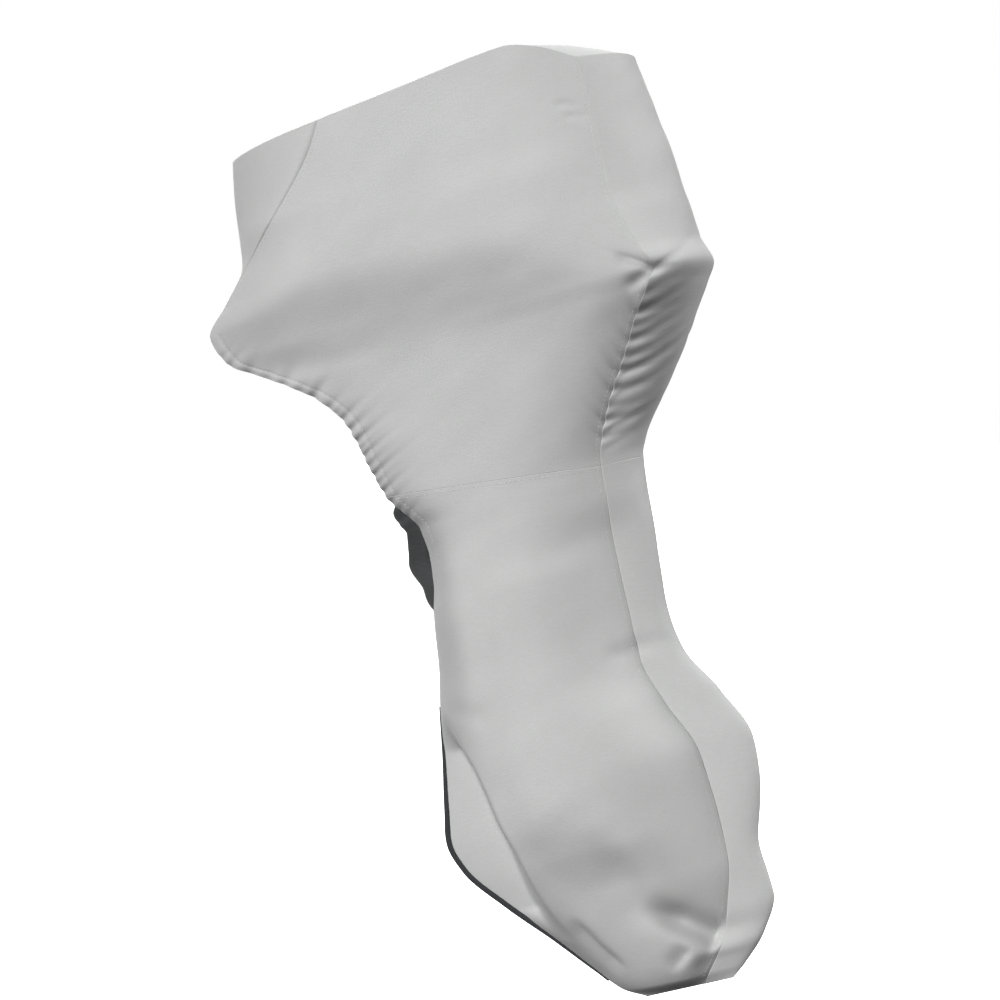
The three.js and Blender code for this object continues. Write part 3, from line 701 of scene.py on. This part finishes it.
def add_node(tree: bpy.types.NodeTree, kind: str, links: dict | None = None, **settings) -> bpy.types.Node:
    """Adds a shader node with its settings and links.

    Args:
        tree: the node tree.
        kind: the node's type name.
        links: input name or index to an output socket, or to a value.
        settings: the node's own properties.

    Returns:
        The new node.
    """
    node = tree.nodes.new(kind)
    for key, value in settings.items():
        setattr(node, key, value)
    for key, value in (links or {}).items():
        if isinstance(value, bpy.types.NodeSocket):
            tree.links.new(value, node.inputs[key])
        else:
            node.inputs[key].default_value = value
    return node


@dataclass(frozen=True)
class WovenPolyester:
    """One side of a coated cloth, woven from solution-dyed polyester.

    The plain weave scatters light evenly, so the cloth looks matt, with a fine grain of threads and slubs,
    a soft sheen where it turns away, and a colour that clouds a little from place to place.
    """

    name: str = "woven_polyester_cover_cloth"
    colour: str = "#bcbdbc"
    shade: str = "#b2b3b2"
    roughness: float = 0.82
    thread_mm: float = 3.0  # real threads are 0.5 mm apart, too fine to show from 5 m
    slub_mm: tuple[float, float] = (16.67, 2.38)
    speck_mm: float = 3.33
    cloud_mm: float = 143.0
    relief_mm: float = 0.6

    def build(self) -> bpy.types.Material:
        """The cloth's material: weave and slubs from the panel's own cut, in metres.

        Returns:
            The new material.
        """
        material = bpy.data.materials.new(self.name)
        material.use_nodes = True
        tree = material.node_tree
        tree.nodes.clear()
        cut = add_node(tree, "ShaderNodeUVMap", uv_map="cut").outputs[0]
        warp, weft = (self.threads(tree, cut, direction) for direction in ("X", "Y"))
        weave = add_node(tree, "ShaderNodeMath", {0: warp, 1: weft}, operation="MULTIPLY")
        slub_scale = (METRE / self.slub_mm[0], METRE / self.slub_mm[1], 1.0)
        slub_place = add_node(tree, "ShaderNodeMapping", {"Vector": cut, "Scale": slub_scale}).outputs[0]
        slubs = self.noise(tree, slub_place, 1.0, 3.0, 0.6)
        specks = self.noise(tree, cut, METRE / self.speck_mm, 2.0, 0.7)
        cloud = self.noise(tree, cut, METRE / self.cloud_mm, 3.0, 0.5)
        fine = add_node(tree, "ShaderNodeMath", {0: slubs, 1: specks}, operation="ADD")
        tone = add_node(tree, "ShaderNodeMath", {0: fine.outputs[0], 1: cloud}, operation="ADD")
        limits = {"Value": tone.outputs[0], "From Min": 1.1, "From Max": 1.9}
        share = add_node(tree, "ShaderNodeMapRange", limits)
        # Inputs 6 and 7 and output 2 are the colours
        ends = {0: share.outputs[0], 6: srgb(self.shade), 7: srgb(self.colour)}
        colour = add_node(tree, "ShaderNodeMix", ends, data_type="RGBA")
        height = add_node(tree, "ShaderNodeMath", {0: weave.outputs[0], 1: fine.outputs[0]}, operation="ADD")
        relief = {"Height": height.outputs[0], "Strength": 0.22, "Distance": self.relief_mm / METRE}
        bump = add_node(tree, "ShaderNodeBump", relief)
        surface = add_node(
            tree,
            "ShaderNodeBsdfPrincipled",
            {
                "Base Color": colour.outputs[2],
                "Roughness": self.roughness,
                "Sheen Weight": 0.18,
                "Sheen Roughness": 0.45,
                "IOR": 1.46,
                "Normal": bump.outputs[0],
            },
        )
        add_node(tree, "ShaderNodeOutputMaterial", {"Surface": surface.outputs[0]})
        return material

    def threads(
        self, tree: bpy.types.NodeTree, cut: bpy.types.NodeSocket, direction: str
    ) -> bpy.types.NodeSocket:
        """One set of threads, a little uneven, as a height from 0 to 1.

        Args:
            tree: the material's node tree.
            cut: the place on the panel's cut.
            direction: the axis across the threads, X or Y.

        Returns:
            The socket that holds the height.
        """
        settings = {"Vector": cut, "Scale": wave_scale(self.thread_mm), "Distortion": 1.2}
        settings |= {"Detail": 2.0, "Detail Scale": 1.4}
        return add_node(tree, "ShaderNodeTexWave", settings, bands_direction=direction).outputs["Fac"]

    def noise(
        self,
        tree: bpy.types.NodeTree,
        place: bpy.types.NodeSocket,
        scale: float,
        detail: float,
        roughness: float,
    ) -> bpy.types.NodeSocket:
        """Soft noise from 0 to 1.

        Args:
            tree: the material's node tree.
            place: where the noise is read.
            scale: how many of its lumps fit in a unit.
            detail: how many finer layers it has.
            roughness: how strong the finer layers are.

        Returns:
            The socket that holds the noise.
        """
        settings = {"Vector": place, "Scale": scale, "Detail": detail, "Roughness": roughness}
        return add_node(tree, "ShaderNodeTexNoise", settings).outputs["Fac"]


@dataclass(frozen=True)
class RibbedPolyester:
    """Woven tape or twisted thread of polyester: matt, of one colour, with fine ribs across its run."""

    name: str
    colour: str
    rib_mm: float
    roughness: float = 0.88
    mottle_mm: float = 4.55
    relief_mm: float = 0.4

    def build(self) -> bpy.types.Material:
        """The material, ribbed on object coordinates.

        Returns:
            The new material.
        """
        material = bpy.data.materials.new(self.name)
        material.use_nodes = True
        tree = material.node_tree
        tree.nodes.clear()
        place = add_node(tree, "ShaderNodeTexCoord").outputs["Object"]
        wave = {"Vector": place, "Scale": wave_scale(self.rib_mm), "Distortion": 0.6}
        ribs = add_node(tree, "ShaderNodeTexWave", wave, bands_direction="Z")
        noise = add_node(tree, "ShaderNodeTexNoise", {"Vector": place, "Scale": METRE / self.mottle_mm})
        base = srgb(self.colour)
        ramp = add_node(tree, "ShaderNodeValToRGB", {"Fac": noise.outputs["Fac"]})
        ramp.color_ramp.elements[0].color = base
        ramp.color_ramp.elements[1].color = (*(min(1.0, c * 1.5 + 0.004) for c in base[:3]), 1.0)
        relief = {"Height": ribs.outputs["Fac"], "Strength": 0.4, "Distance": self.relief_mm / METRE}
        bump = add_node(tree, "ShaderNodeBump", relief)
        looks = {"Base Color": ramp.outputs["Color"], "Roughness": self.roughness, "Normal": bump.outputs[0]}
        surface = add_node(tree, "ShaderNodeBsdfPrincipled", looks)
        add_node(tree, "ShaderNodeOutputMaterial", {"Surface": surface.outputs[0]})
        return material


# Outer side: dyed right through and matt, so it looks even and softly grained
OUTER_CLOTH = WovenPolyester()
# Inner side: the same weave in dark grey and a little smoother; the dark grey is painted shade, so the inside
# of the opening looks nearly black
INNER_PAINTED_SHADE = WovenPolyester("cloth_back_painted_shade", "#545556", "#48494a", roughness=0.7)
# Binding: ribbed grosgrain tape, near black and dull, so it reads as one dark line
BINDING_TAPE = RibbedPolyester("binding_tape", "#26272a", 2.0)
# Thread: twisted, of nearly the cloth's colour and a little shinier, so it shows only as small dashes
SEWING_THREAD = RibbedPolyester("polyester_thread", "#b4b5b4", 0.8, roughness=0.7)


def grid_object(name: str, points: np.ndarray, flip: bool) -> bpy.types.Object:
    """A smooth mesh through a grid of points, linked to the scene.

    Args:
        name: the name of the object and of its mesh.
        points: rows by columns of points, in metres.
        flip: whether the faces are turned round.

    Returns:
        The new object.
    """
    rows, columns = points.shape[:2]
    index = np.arange(rows * columns).reshape(rows, columns)
    a, b = index[:-1, :-1].ravel(), index[:-1, 1:].ravel()
    c, d = index[1:, 1:].ravel(), index[1:, :-1].ravel()
    quads = np.stack([a, b, c, d] if flip else [a, d, c, b], axis=1)
    mesh = bpy.data.meshes.new(name)
    mesh.from_pydata(points.reshape(-1, 3).tolist(), [], quads.tolist())
    mesh.polygons.foreach_set("use_smooth", [True] * len(mesh.polygons))
    piece = bpy.data.objects.new(name, mesh)
    bpy.context.scene.collection.objects.link(piece)
    return piece


def thicken(piece: bpy.types.Object, thickness: float, back_slot: int = 0) -> None:
    """Gives a sheet its thickness, inwards from the face that was modelled.

    Args:
        piece: the sheet's object.
        thickness: in metres.
        back_slot: which material slot the inner side takes.
    """
    bpy.ops.object.select_all(action="DESELECT")
    bpy.context.view_layer.objects.active = piece
    piece.select_set(True)
    solid = piece.modifiers.new("thickness", "SOLIDIFY")
    solid.thickness = thickness
    solid.offset = -1
    solid.material_offset = back_slot
    bpy.ops.object.modifier_apply(modifier=solid.name)


@dataclass
class ClothPanel:
    """One cut panel as a thin sheet on the solid's folds."""

    name: str
    node: str
    points: np.ndarray
    flip: bool
    thickness: float = CLOTH_THICKNESS

    def build(self, face: bpy.types.Material, back: bpy.types.Material) -> bpy.types.Object:
        """Args:
            face: the cloth's outer side.
            back: its inner side, dark grey with painted shade.

        Returns:
            The finished object.
        """
        panel = grid_object(self.name, self.points, self.flip)
        panel.data.materials.append(face)
        panel.data.materials.append(back)
        width, length = self.lay_out(panel.data)
        thicken(panel, self.thickness, back_slot=1)
        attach(panel, "root")
        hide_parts(self.node)
        rows, columns = self.points.shape[:2]
        log.info("%s: %d by %d points, cut %.3f by %.3f m", self.name, rows, columns, width, length)
        return panel

    def lay_out(self, mesh: bpy.types.Mesh) -> tuple[float, float]:
        """Unrolls the panel along its grid and keeps the flat place of each point as a UV map in metres.

        Args:
            mesh: the panel's mesh, still without thickness.

        Returns:
            Width and length of the cut, in metres, to the nearest millimetre.
        """
        rows, columns = self.points.shape[:2]
        steps = np.linalg.norm(np.diff(self.points, axis=1), axis=-1)
        across = np.concatenate([np.zeros((rows, 1)), np.cumsum(steps, axis=1)], axis=1)
        across -= across[:, columns // 2 : columns // 2 + 1]
        drops = np.linalg.norm(np.diff(self.points, axis=0), axis=-1).mean(axis=1)
        run = np.concatenate([[0], np.cumsum(drops)])
        cut = np.stack([across, np.broadcast_to(-run[:, None], across.shape)], axis=-1).reshape(-1, 2)
        layer = mesh.uv_layers.new(name="cut")
        corner = np.empty(len(mesh.loops), int)
        mesh.loops.foreach_get("vertex_index", corner)
        layer.data.foreach_set("uv", cut[corner].ravel())
        return round(float(np.max(across[:, -1] - across[:, 0])), 3), round(float(run[-1]), 3)


@dataclass
class Cover:
    """The sewn cover: which panels it has and how finely each is meshed.

    An ease crowds the rows or columns towards a panel's edges, where the gathers are and where a seam
    should look thin.
    """

    form: CoverForm = field(default_factory=CoverForm)
    hood_rows: int = 250
    leg_rows: int = 210
    row_ease: float = 0.65
    side_columns: int = 150
    side_ease: float = 0.75
    strip_columns: int = 64
    nose_rows: int = 96
    top_rows: int = 110
    strip_ease: float = 0.5

    def hood_depths(self) -> np.ndarray:
        """Depths of the hood's rows, from the top edge to the waist seam."""
        return WAIST_DOWN * spread(self.hood_rows, self.row_ease)[:, None]

    def leg_depths(self) -> np.ndarray:
        """Depths of the leg's rows, from the waist seam to the foot."""
        return (WAIST_DOWN + (FOOT_DOWN - WAIST_DOWN) * spread(self.leg_rows, self.row_ease))[:, None]

    def sides(self) -> list[ClothPanel]:
        """The side panels of the hood, then those of the leg.

        Returns:
            Four panels. A row of each leg panel lies at the throat, where the front closes.
        """
        along = spread(self.side_columns, self.side_ease)[None, :]
        leg = self.leg_depths()
        leg[np.argmin(np.abs(leg - THROAT_DOWN))] = THROAT_DOWN
        panels = []
        for part, depths in (("hood", self.hood_depths()), ("leg", leg)):
            for side in Side:
                name = side.name.lower()
                points = self.form.to_frame(self.form.side_points(side, depths, along))
                flip = side is Side.STARBOARD
                panels.append(ClothPanel(f"{part}_cloth_{name}", f"{part}_side_{name}", points, flip))
        return panels

    def strips(self) -> list[ClothPanel]:
        """The nose panel, the top panel and the two gussets.

        Returns:
            Four panels.
        """
        form = self.form
        across = 2 * spread(self.strip_columns, self.strip_ease)[None, :] - 1
        nose = np.linspace(0, CHIN_DOWN, self.nose_rows + 1)[:, None]
        top = spread(self.top_rows, self.strip_ease)[:, None]
        table = (
            # name, node, surface, its rows, whether its faces are turned round
            ("nose_cloth", "nose_panel", form.nose_points, nose, True),
            ("top_cloth", "top_panel", form.top_points, top, False),
            ("aft_gusset_cloth", "aft_gusset", form.gusset_points, self.hood_depths(), False),
            ("leg_gusset_cloth", "leg_gusset", form.gusset_points, self.leg_depths(), False),
        )
        panels = []
        for name, node, surface, rows, flip in table:
            grid = [part.copy() for part in np.broadcast_arrays(rows, across)]
            panels.append(ClothPanel(name, node, form.to_frame(surface(*grid)), flip))
        return panels

    def build(self) -> None:
        """Builds and dresses every panel."""
        # The inner side is painted shade: a dark grey cloth that darkens the inside of the opening
        face, back = OUTER_CLOTH.build(), INNER_PAINTED_SHADE.build()
        for panel in self.sides() + self.strips():
            panel.build(face, back)


@dataclass(frozen=True)
class StitchRow:
    """One row of topstitching: where it runs on a panel, and which way is out there."""

    surface: Surface
    rows: np.ndarray
    places: np.ndarray
    out: tuple[float, float, float]
    lift: float = 0.0

    def stitches(self, pitch: float) -> tuple[np.ndarray, np.ndarray, np.ndarray]:
        """Middles, ways along and ways out of the row's stitches.

        Args:
            pitch: metres from one stitch to the next.

        Returns:
            Three arrays with a row for each stitch.
        """
        row_step, place_step = 1.0, 0.002
        points = self.surface(self.rows, self.places)
        above, below = (self.surface(self.rows + step, self.places) for step in (-row_step, row_step))
        before, after = (self.surface(self.rows, self.places + step) for step in (-place_step, place_step))
        normals = unit(np.cross(below - above, after - before))
        normals *= np.where(normals @ np.array(self.out) < 0, -1, 1)[:, None]
        lengths = np.linalg.norm(np.diff(points, axis=0), axis=-1)
        run = np.concatenate([[0], np.cumsum(lengths)])
        at = np.arange(pitch / 2, run[-1], pitch)
        middles, ahead, behind, ways_out = (
            np.stack([np.interp(at + shift, run, values[:, k]) for k in range(3)], axis=-1)
            for shift, values in ((0, points), (pitch / 4, points), (-pitch / 4, points), (0, normals))
        )
        ways_out = unit(ways_out)
        return middles + ways_out * self.lift, unit(ahead - behind), ways_out


@dataclass
class Topstitching:
    """Rows of stitches beside the seams and behind the hem's casing.

    Sizes are in metres, but the inset and the spans are in the motor's frame: millimetres of depth, or
    shares along a side or across the nose.
    """

    form: CoverForm
    inset: float = 6.0
    # Real stitches are 3 mm long; these are drawn longer so that they show from 5 m
    pitch: float = 0.0070
    length: float = 0.0046
    radius: float = 0.00045
    flatness: float = 1.3
    samples: int = 400
    aft_seam: tuple[float, float] = (10.0, FOOT_DOWN - 12.0)
    front_seam: tuple[float, float] = (14.0, CHIN_DOWN - 4.0)
    hem: tuple[float, float] = (CHIN_DOWN + 8.0, THROAT_DOWN - 8.0)
    waist_seam: tuple[float, float] = (0.02, 0.98)
    chin: tuple[float, float] = (-0.96, 0.96)

    def side(self, side: Side) -> Surface:
        """The surface of a side panel in metres."""
        return lambda row, along: self.form.to_frame(self.form.side_points(side, row, along))

    def nose(self, row: np.ndarray, across: np.ndarray) -> np.ndarray:
        """The surface of the nose panel in metres."""
        return self.form.to_frame(self.form.nose_points(row, across))

    def rows(self) -> list[StitchRow]:
        """Every row of topstitching on the cover.

        Returns:
            The rows: aft seam, front seam, waist seam and hem of each side, then the far hem's inner side
            and the chin.
        """
        form = self.form
        aft, front, hem, waist, chin = (
            np.linspace(*span, self.samples)
            for span in (self.aft_seam, self.front_seam, self.hem, self.waist_seam, self.chin)
        )
        by_aft = 1 - self.inset / (form.aft_u(aft) - form.front_u(aft))
        by_front = self.inset / (form.aft_u(front) - form.front_u(front))
        by_hem = form.casing_width / (form.aft_u(hem) - form.front_u(hem))
        below_waist = np.full_like(waist, WAIST_DOWN + self.inset)
        found = []
        for side in Side:
            out = (0, side.value, 0)
            for down, place in ((aft, by_aft), (front, by_front), (below_waist, waist), (hem, by_hem)):
                found.append(StitchRow(self.side(side), down, place, out))
        found.append(StitchRow(self.side(Side.STARBOARD), hem, by_hem, (0, -1, 0), CLOTH_THICKNESS))
        above_chin = np.full_like(chin, CHIN_DOWN - form.casing_width)
        found.append(StitchRow(self.nose, above_chin, chin, (-1, 0, 0)))
        return found

    def build(self) -> bpy.types.Object:
        """Copies one round-ended stitch along every row and joins them to a single piece.

        Returns:
            The finished object.
        """
        bpy.ops.object.select_all(action="DESELECT")
        bpy.ops.mesh.primitive_uv_sphere_add(segments=6, ring_count=4, radius=1)
        stitch = bpy.context.object
        # The ball's poles become the stitch's two ends
        corners = np.array([tuple(v.co) for v in stitch.data.vertices])[:, [2, 0, 1]]
        faces = [tuple(face.vertices) for face in stitch.data.polygons]
        bpy.data.objects.remove(stitch)
        corners *= (self.length / 2, self.radius * self.flatness, self.radius)
        points, loops = [], []
        for row in self.rows():
            for middle, way, out in zip(*row.stitches(self.pitch)):
                start = len(points) * len(corners)
                points.append(middle + corners @ np.stack([way, np.cross(out, way), out]))
                loops += [tuple(start + k for k in face) for face in faces]
        mesh = bpy.data.meshes.new("topstitching")
        mesh.from_pydata(np.concatenate(points).tolist(), [], loops)
        mesh.polygons.foreach_set("use_smooth", [True] * len(mesh.polygons))
        mesh.materials.append(SEWING_THREAD.build())
        thread = bpy.data.objects.new("topstitching", mesh)
        bpy.context.scene.collection.objects.link(thread)
        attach(thread, "root")
        log.info("topstitching: %d stitches", len(points))
        return thread


@dataclass
class EdgeBinding:
    """The dark tape folded round the lower front edge, where the two leg panels meet.

    Sizes are in millimetres in the motor's frame, but the thickness is in metres. The tape shows thin
    where the flap's edge turns away near its ends, so its section tapers there.
    """

    form: CoverForm
    start_down: float = 905.0
    end_down: float = 1362.0
    half_width: float = 3.0
    proud: float = 4.2
    wrap: float = 5.0
    wrap_flare: float = 1.5
    upper_taper: tuple[float, float] = (0.35, 0.4)  # its share of the section, over what share of the length
    lower_taper: tuple[float, float] = (0.5, 0.15)
    thickness: float = 0.0007
    steps: int = 150
    turns: int = 12

    def taper(self) -> np.ndarray:
        """The section's size along the tape.

        Returns:
            One column, with 1 where the section is full.
        """
        share = np.linspace(0, 1, self.steps + 1)
        size = np.ones_like(share)
        for (least, reach), way in ((self.upper_taper, share), (self.lower_taper, 1 - share)):
            size *= least + (1 - least) * np.clip(way / reach, 0, 1)
        return size[:, None]

    def build(self) -> bpy.types.Object:
        """Returns:
            The finished object.
        """
        row = np.linspace(self.start_down, self.end_down, self.steps + 1)
        edge = self.form.side_points(Side.PORT, row, np.zeros_like(row))
        run = np.gradient(edge, axis=0)
        ahead = unit(np.stack([run[:, 2], np.zeros(len(run)), -run[:, 0]], axis=-1))
        angle = np.linspace(-math.pi / 2, math.pi / 2, self.turns + 1)
        section = [(-self.wrap, -self.half_width * self.wrap_flare)]
        section += [(self.proud * math.cos(a), self.half_width * math.sin(a)) for a in angle]
        section += [(-self.wrap, self.half_width * self.wrap_flare)]
        taper = self.taper()
        sideways = np.array([0, 1, 0])
        lines = [edge + ahead * (forward * taper) + sideways * (aside * taper) for forward, aside in section]
        points = self.form.to_frame(np.stack(lines, axis=1))
        tape = grid_object("edge_binding_tape", points, flip=True)
        tape.data.materials.append(BINDING_TAPE.build())
        thicken(tape, self.thickness)
        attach(tape, "root")
        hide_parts("front_binding")
        return tape


def sky_direction(azimuth: float, elevation: float) -> Vector:
    """Unit vector from the cover towards a place in the sky, both angles in degrees."""
    a, e = math.radians(azimuth), math.radians(elevation)
    return Vector((math.sin(a) * math.cos(e), -math.cos(a) * math.cos(e), math.sin(e)))


@dataclass(frozen=True)
class SoftLight:
    """A large far lamp: its sky direction in degrees, its strength and how wide it looks.

    Azimuth 0 stands straight before the port side, and grows towards the aft end.
    """

    name: str
    azimuth: float
    elevation: float
    strength: float
    spread: float

    def build(self) -> None:
        """Adds the lamp."""
        data = bpy.data.lights.new(self.name, "SUN")
        data.energy = self.strength
        data.angle = math.radians(self.spread)
        lamp = bpy.data.objects.new(self.name, data)
        bpy.context.scene.collection.objects.link(lamp)
        lamp.rotation_euler = sky_direction(self.azimuth, self.elevation).to_track_quat("Z", "Y").to_euler()


@dataclass
class Studio:
    """Plain pale floor and sky, soft lights, and the camera of the reference view."""

    form: CoverForm
    azimuth: float = 15.0
    elevation: float = 2.0
    distance: float = 4.8
    seen_width: float = 1.5
    sensor_mm: float = 36.0
    # What the picture's middle shows, in the level frame before the origin moves to the hood rest
    aim_mm: tuple[float, float, float] = (155.0, 0.0, -607.0)
    floor_z: float = -1.62
    floor_size: float = 120.0
    floor_glow: float = 1.0
    sky_top: float = 0.08
    sky_bottom: float = 0.02
    lights: tuple[SoftLight, ...] = (
        SoftLight("front_left_softbox", -10, 22, 3.7, 32),
        SoftLight("back_right_softbox", 124, 34, 3.0, 36),
        SoftLight("far_side_softbox", 212, 24, 2.2, 50),
    )

    def build_camera(self) -> None:
        """Places the camera so that it sees seen_width metres across at its aim."""
        data = bpy.data.cameras.new("camera")
        data.sensor_width = self.sensor_mm
        data.lens = self.sensor_mm * self.distance / self.seen_width
        data.clip_end = 100
        camera = bpy.data.objects.new("camera", data)
        bpy.context.scene.collection.objects.link(camera)
        aim = Vector(self.form.from_level(np.array(self.aim_mm)))
        back = sky_direction(self.azimuth, self.elevation)
        camera.location = aim + back * self.distance
        camera.rotation_euler = back.to_track_quat("Z", "Y").to_euler()
        bpy.context.scene.camera = camera

    def build_floor(self) -> None:
        """A white floor, lit past white, that throws no light of its own on the cover."""
        bpy.ops.object.select_all(action="DESELECT")
        bpy.ops.mesh.primitive_plane_add(size=self.floor_size, location=(0, 0, self.floor_z))
        floor = bpy.context.object
        floor.name = "studio_floor"
        bpy.ops.object.transform_apply(location=True, rotation=True, scale=True)
        floor.visible_diffuse = False
        floor.visible_glossy = False
        material = bpy.data.materials.new("white_floor")
        material.use_nodes = True
        surface = material.node_tree.nodes["Principled BSDF"]
        surface.inputs["Base Color"].default_value = srgb("#f4f4f4")
        surface.inputs["Roughness"].default_value = 0.95
        surface.inputs["Emission Color"].default_value = srgb("#ffffff")
        surface.inputs["Emission Strength"].default_value = self.floor_glow
        floor.data.materials.append(material)

    def build_sky(self) -> None:
        """A dim sky, brighter above than below, that the camera sees as white."""
        world = bpy.data.worlds.new("pale_sky")
        world.use_nodes = True
        tree = world.node_tree
        tree.nodes.clear()
        place = add_node(tree, "ShaderNodeTexCoord").outputs["Generated"]
        height = add_node(tree, "ShaderNodeSeparateXYZ", {0: place}).outputs["Z"]
        ends = {"Value": height, "From Min": -1.0, "To Min": self.sky_bottom, "To Max": self.sky_top}
        level = add_node(tree, "ShaderNodeMapRange", ends).outputs[0]
        white = srgb("#ffffff")
        light = add_node(tree, "ShaderNodeBackground", {"Color": white, "Strength": level}).outputs[0]
        seen = add_node(tree, "ShaderNodeBackground", {"Color": white, "Strength": 1.0}).outputs[0]
        by_camera = add_node(tree, "ShaderNodeLightPath").outputs["Is Camera Ray"]
        both = add_node(tree, "ShaderNodeMixShader", {0: by_camera, 1: light, 2: seen}).outputs[0]
        add_node(tree, "ShaderNodeOutputWorld", {"Surface": both})
        bpy.context.scene.world = world

    def build(self) -> None:
        """Sets up the whole studio."""
        self.build_camera()
        self.build_floor()
        self.build_sky()
        for light in self.lights:
            light.build()
        bpy.context.scene.view_settings.view_transform = "Standard"


def main() -> None:
    """Builds the cover and its studio."""
    logging.basicConfig(level=logging.INFO, format="%(message)s")
    cover = Cover()
    Studio(cover.form).build()
    cover.build()
    Topstitching(cover.form).build()
    EdgeBinding(cover.form).build()


if __name__ == "__main__":
    main()
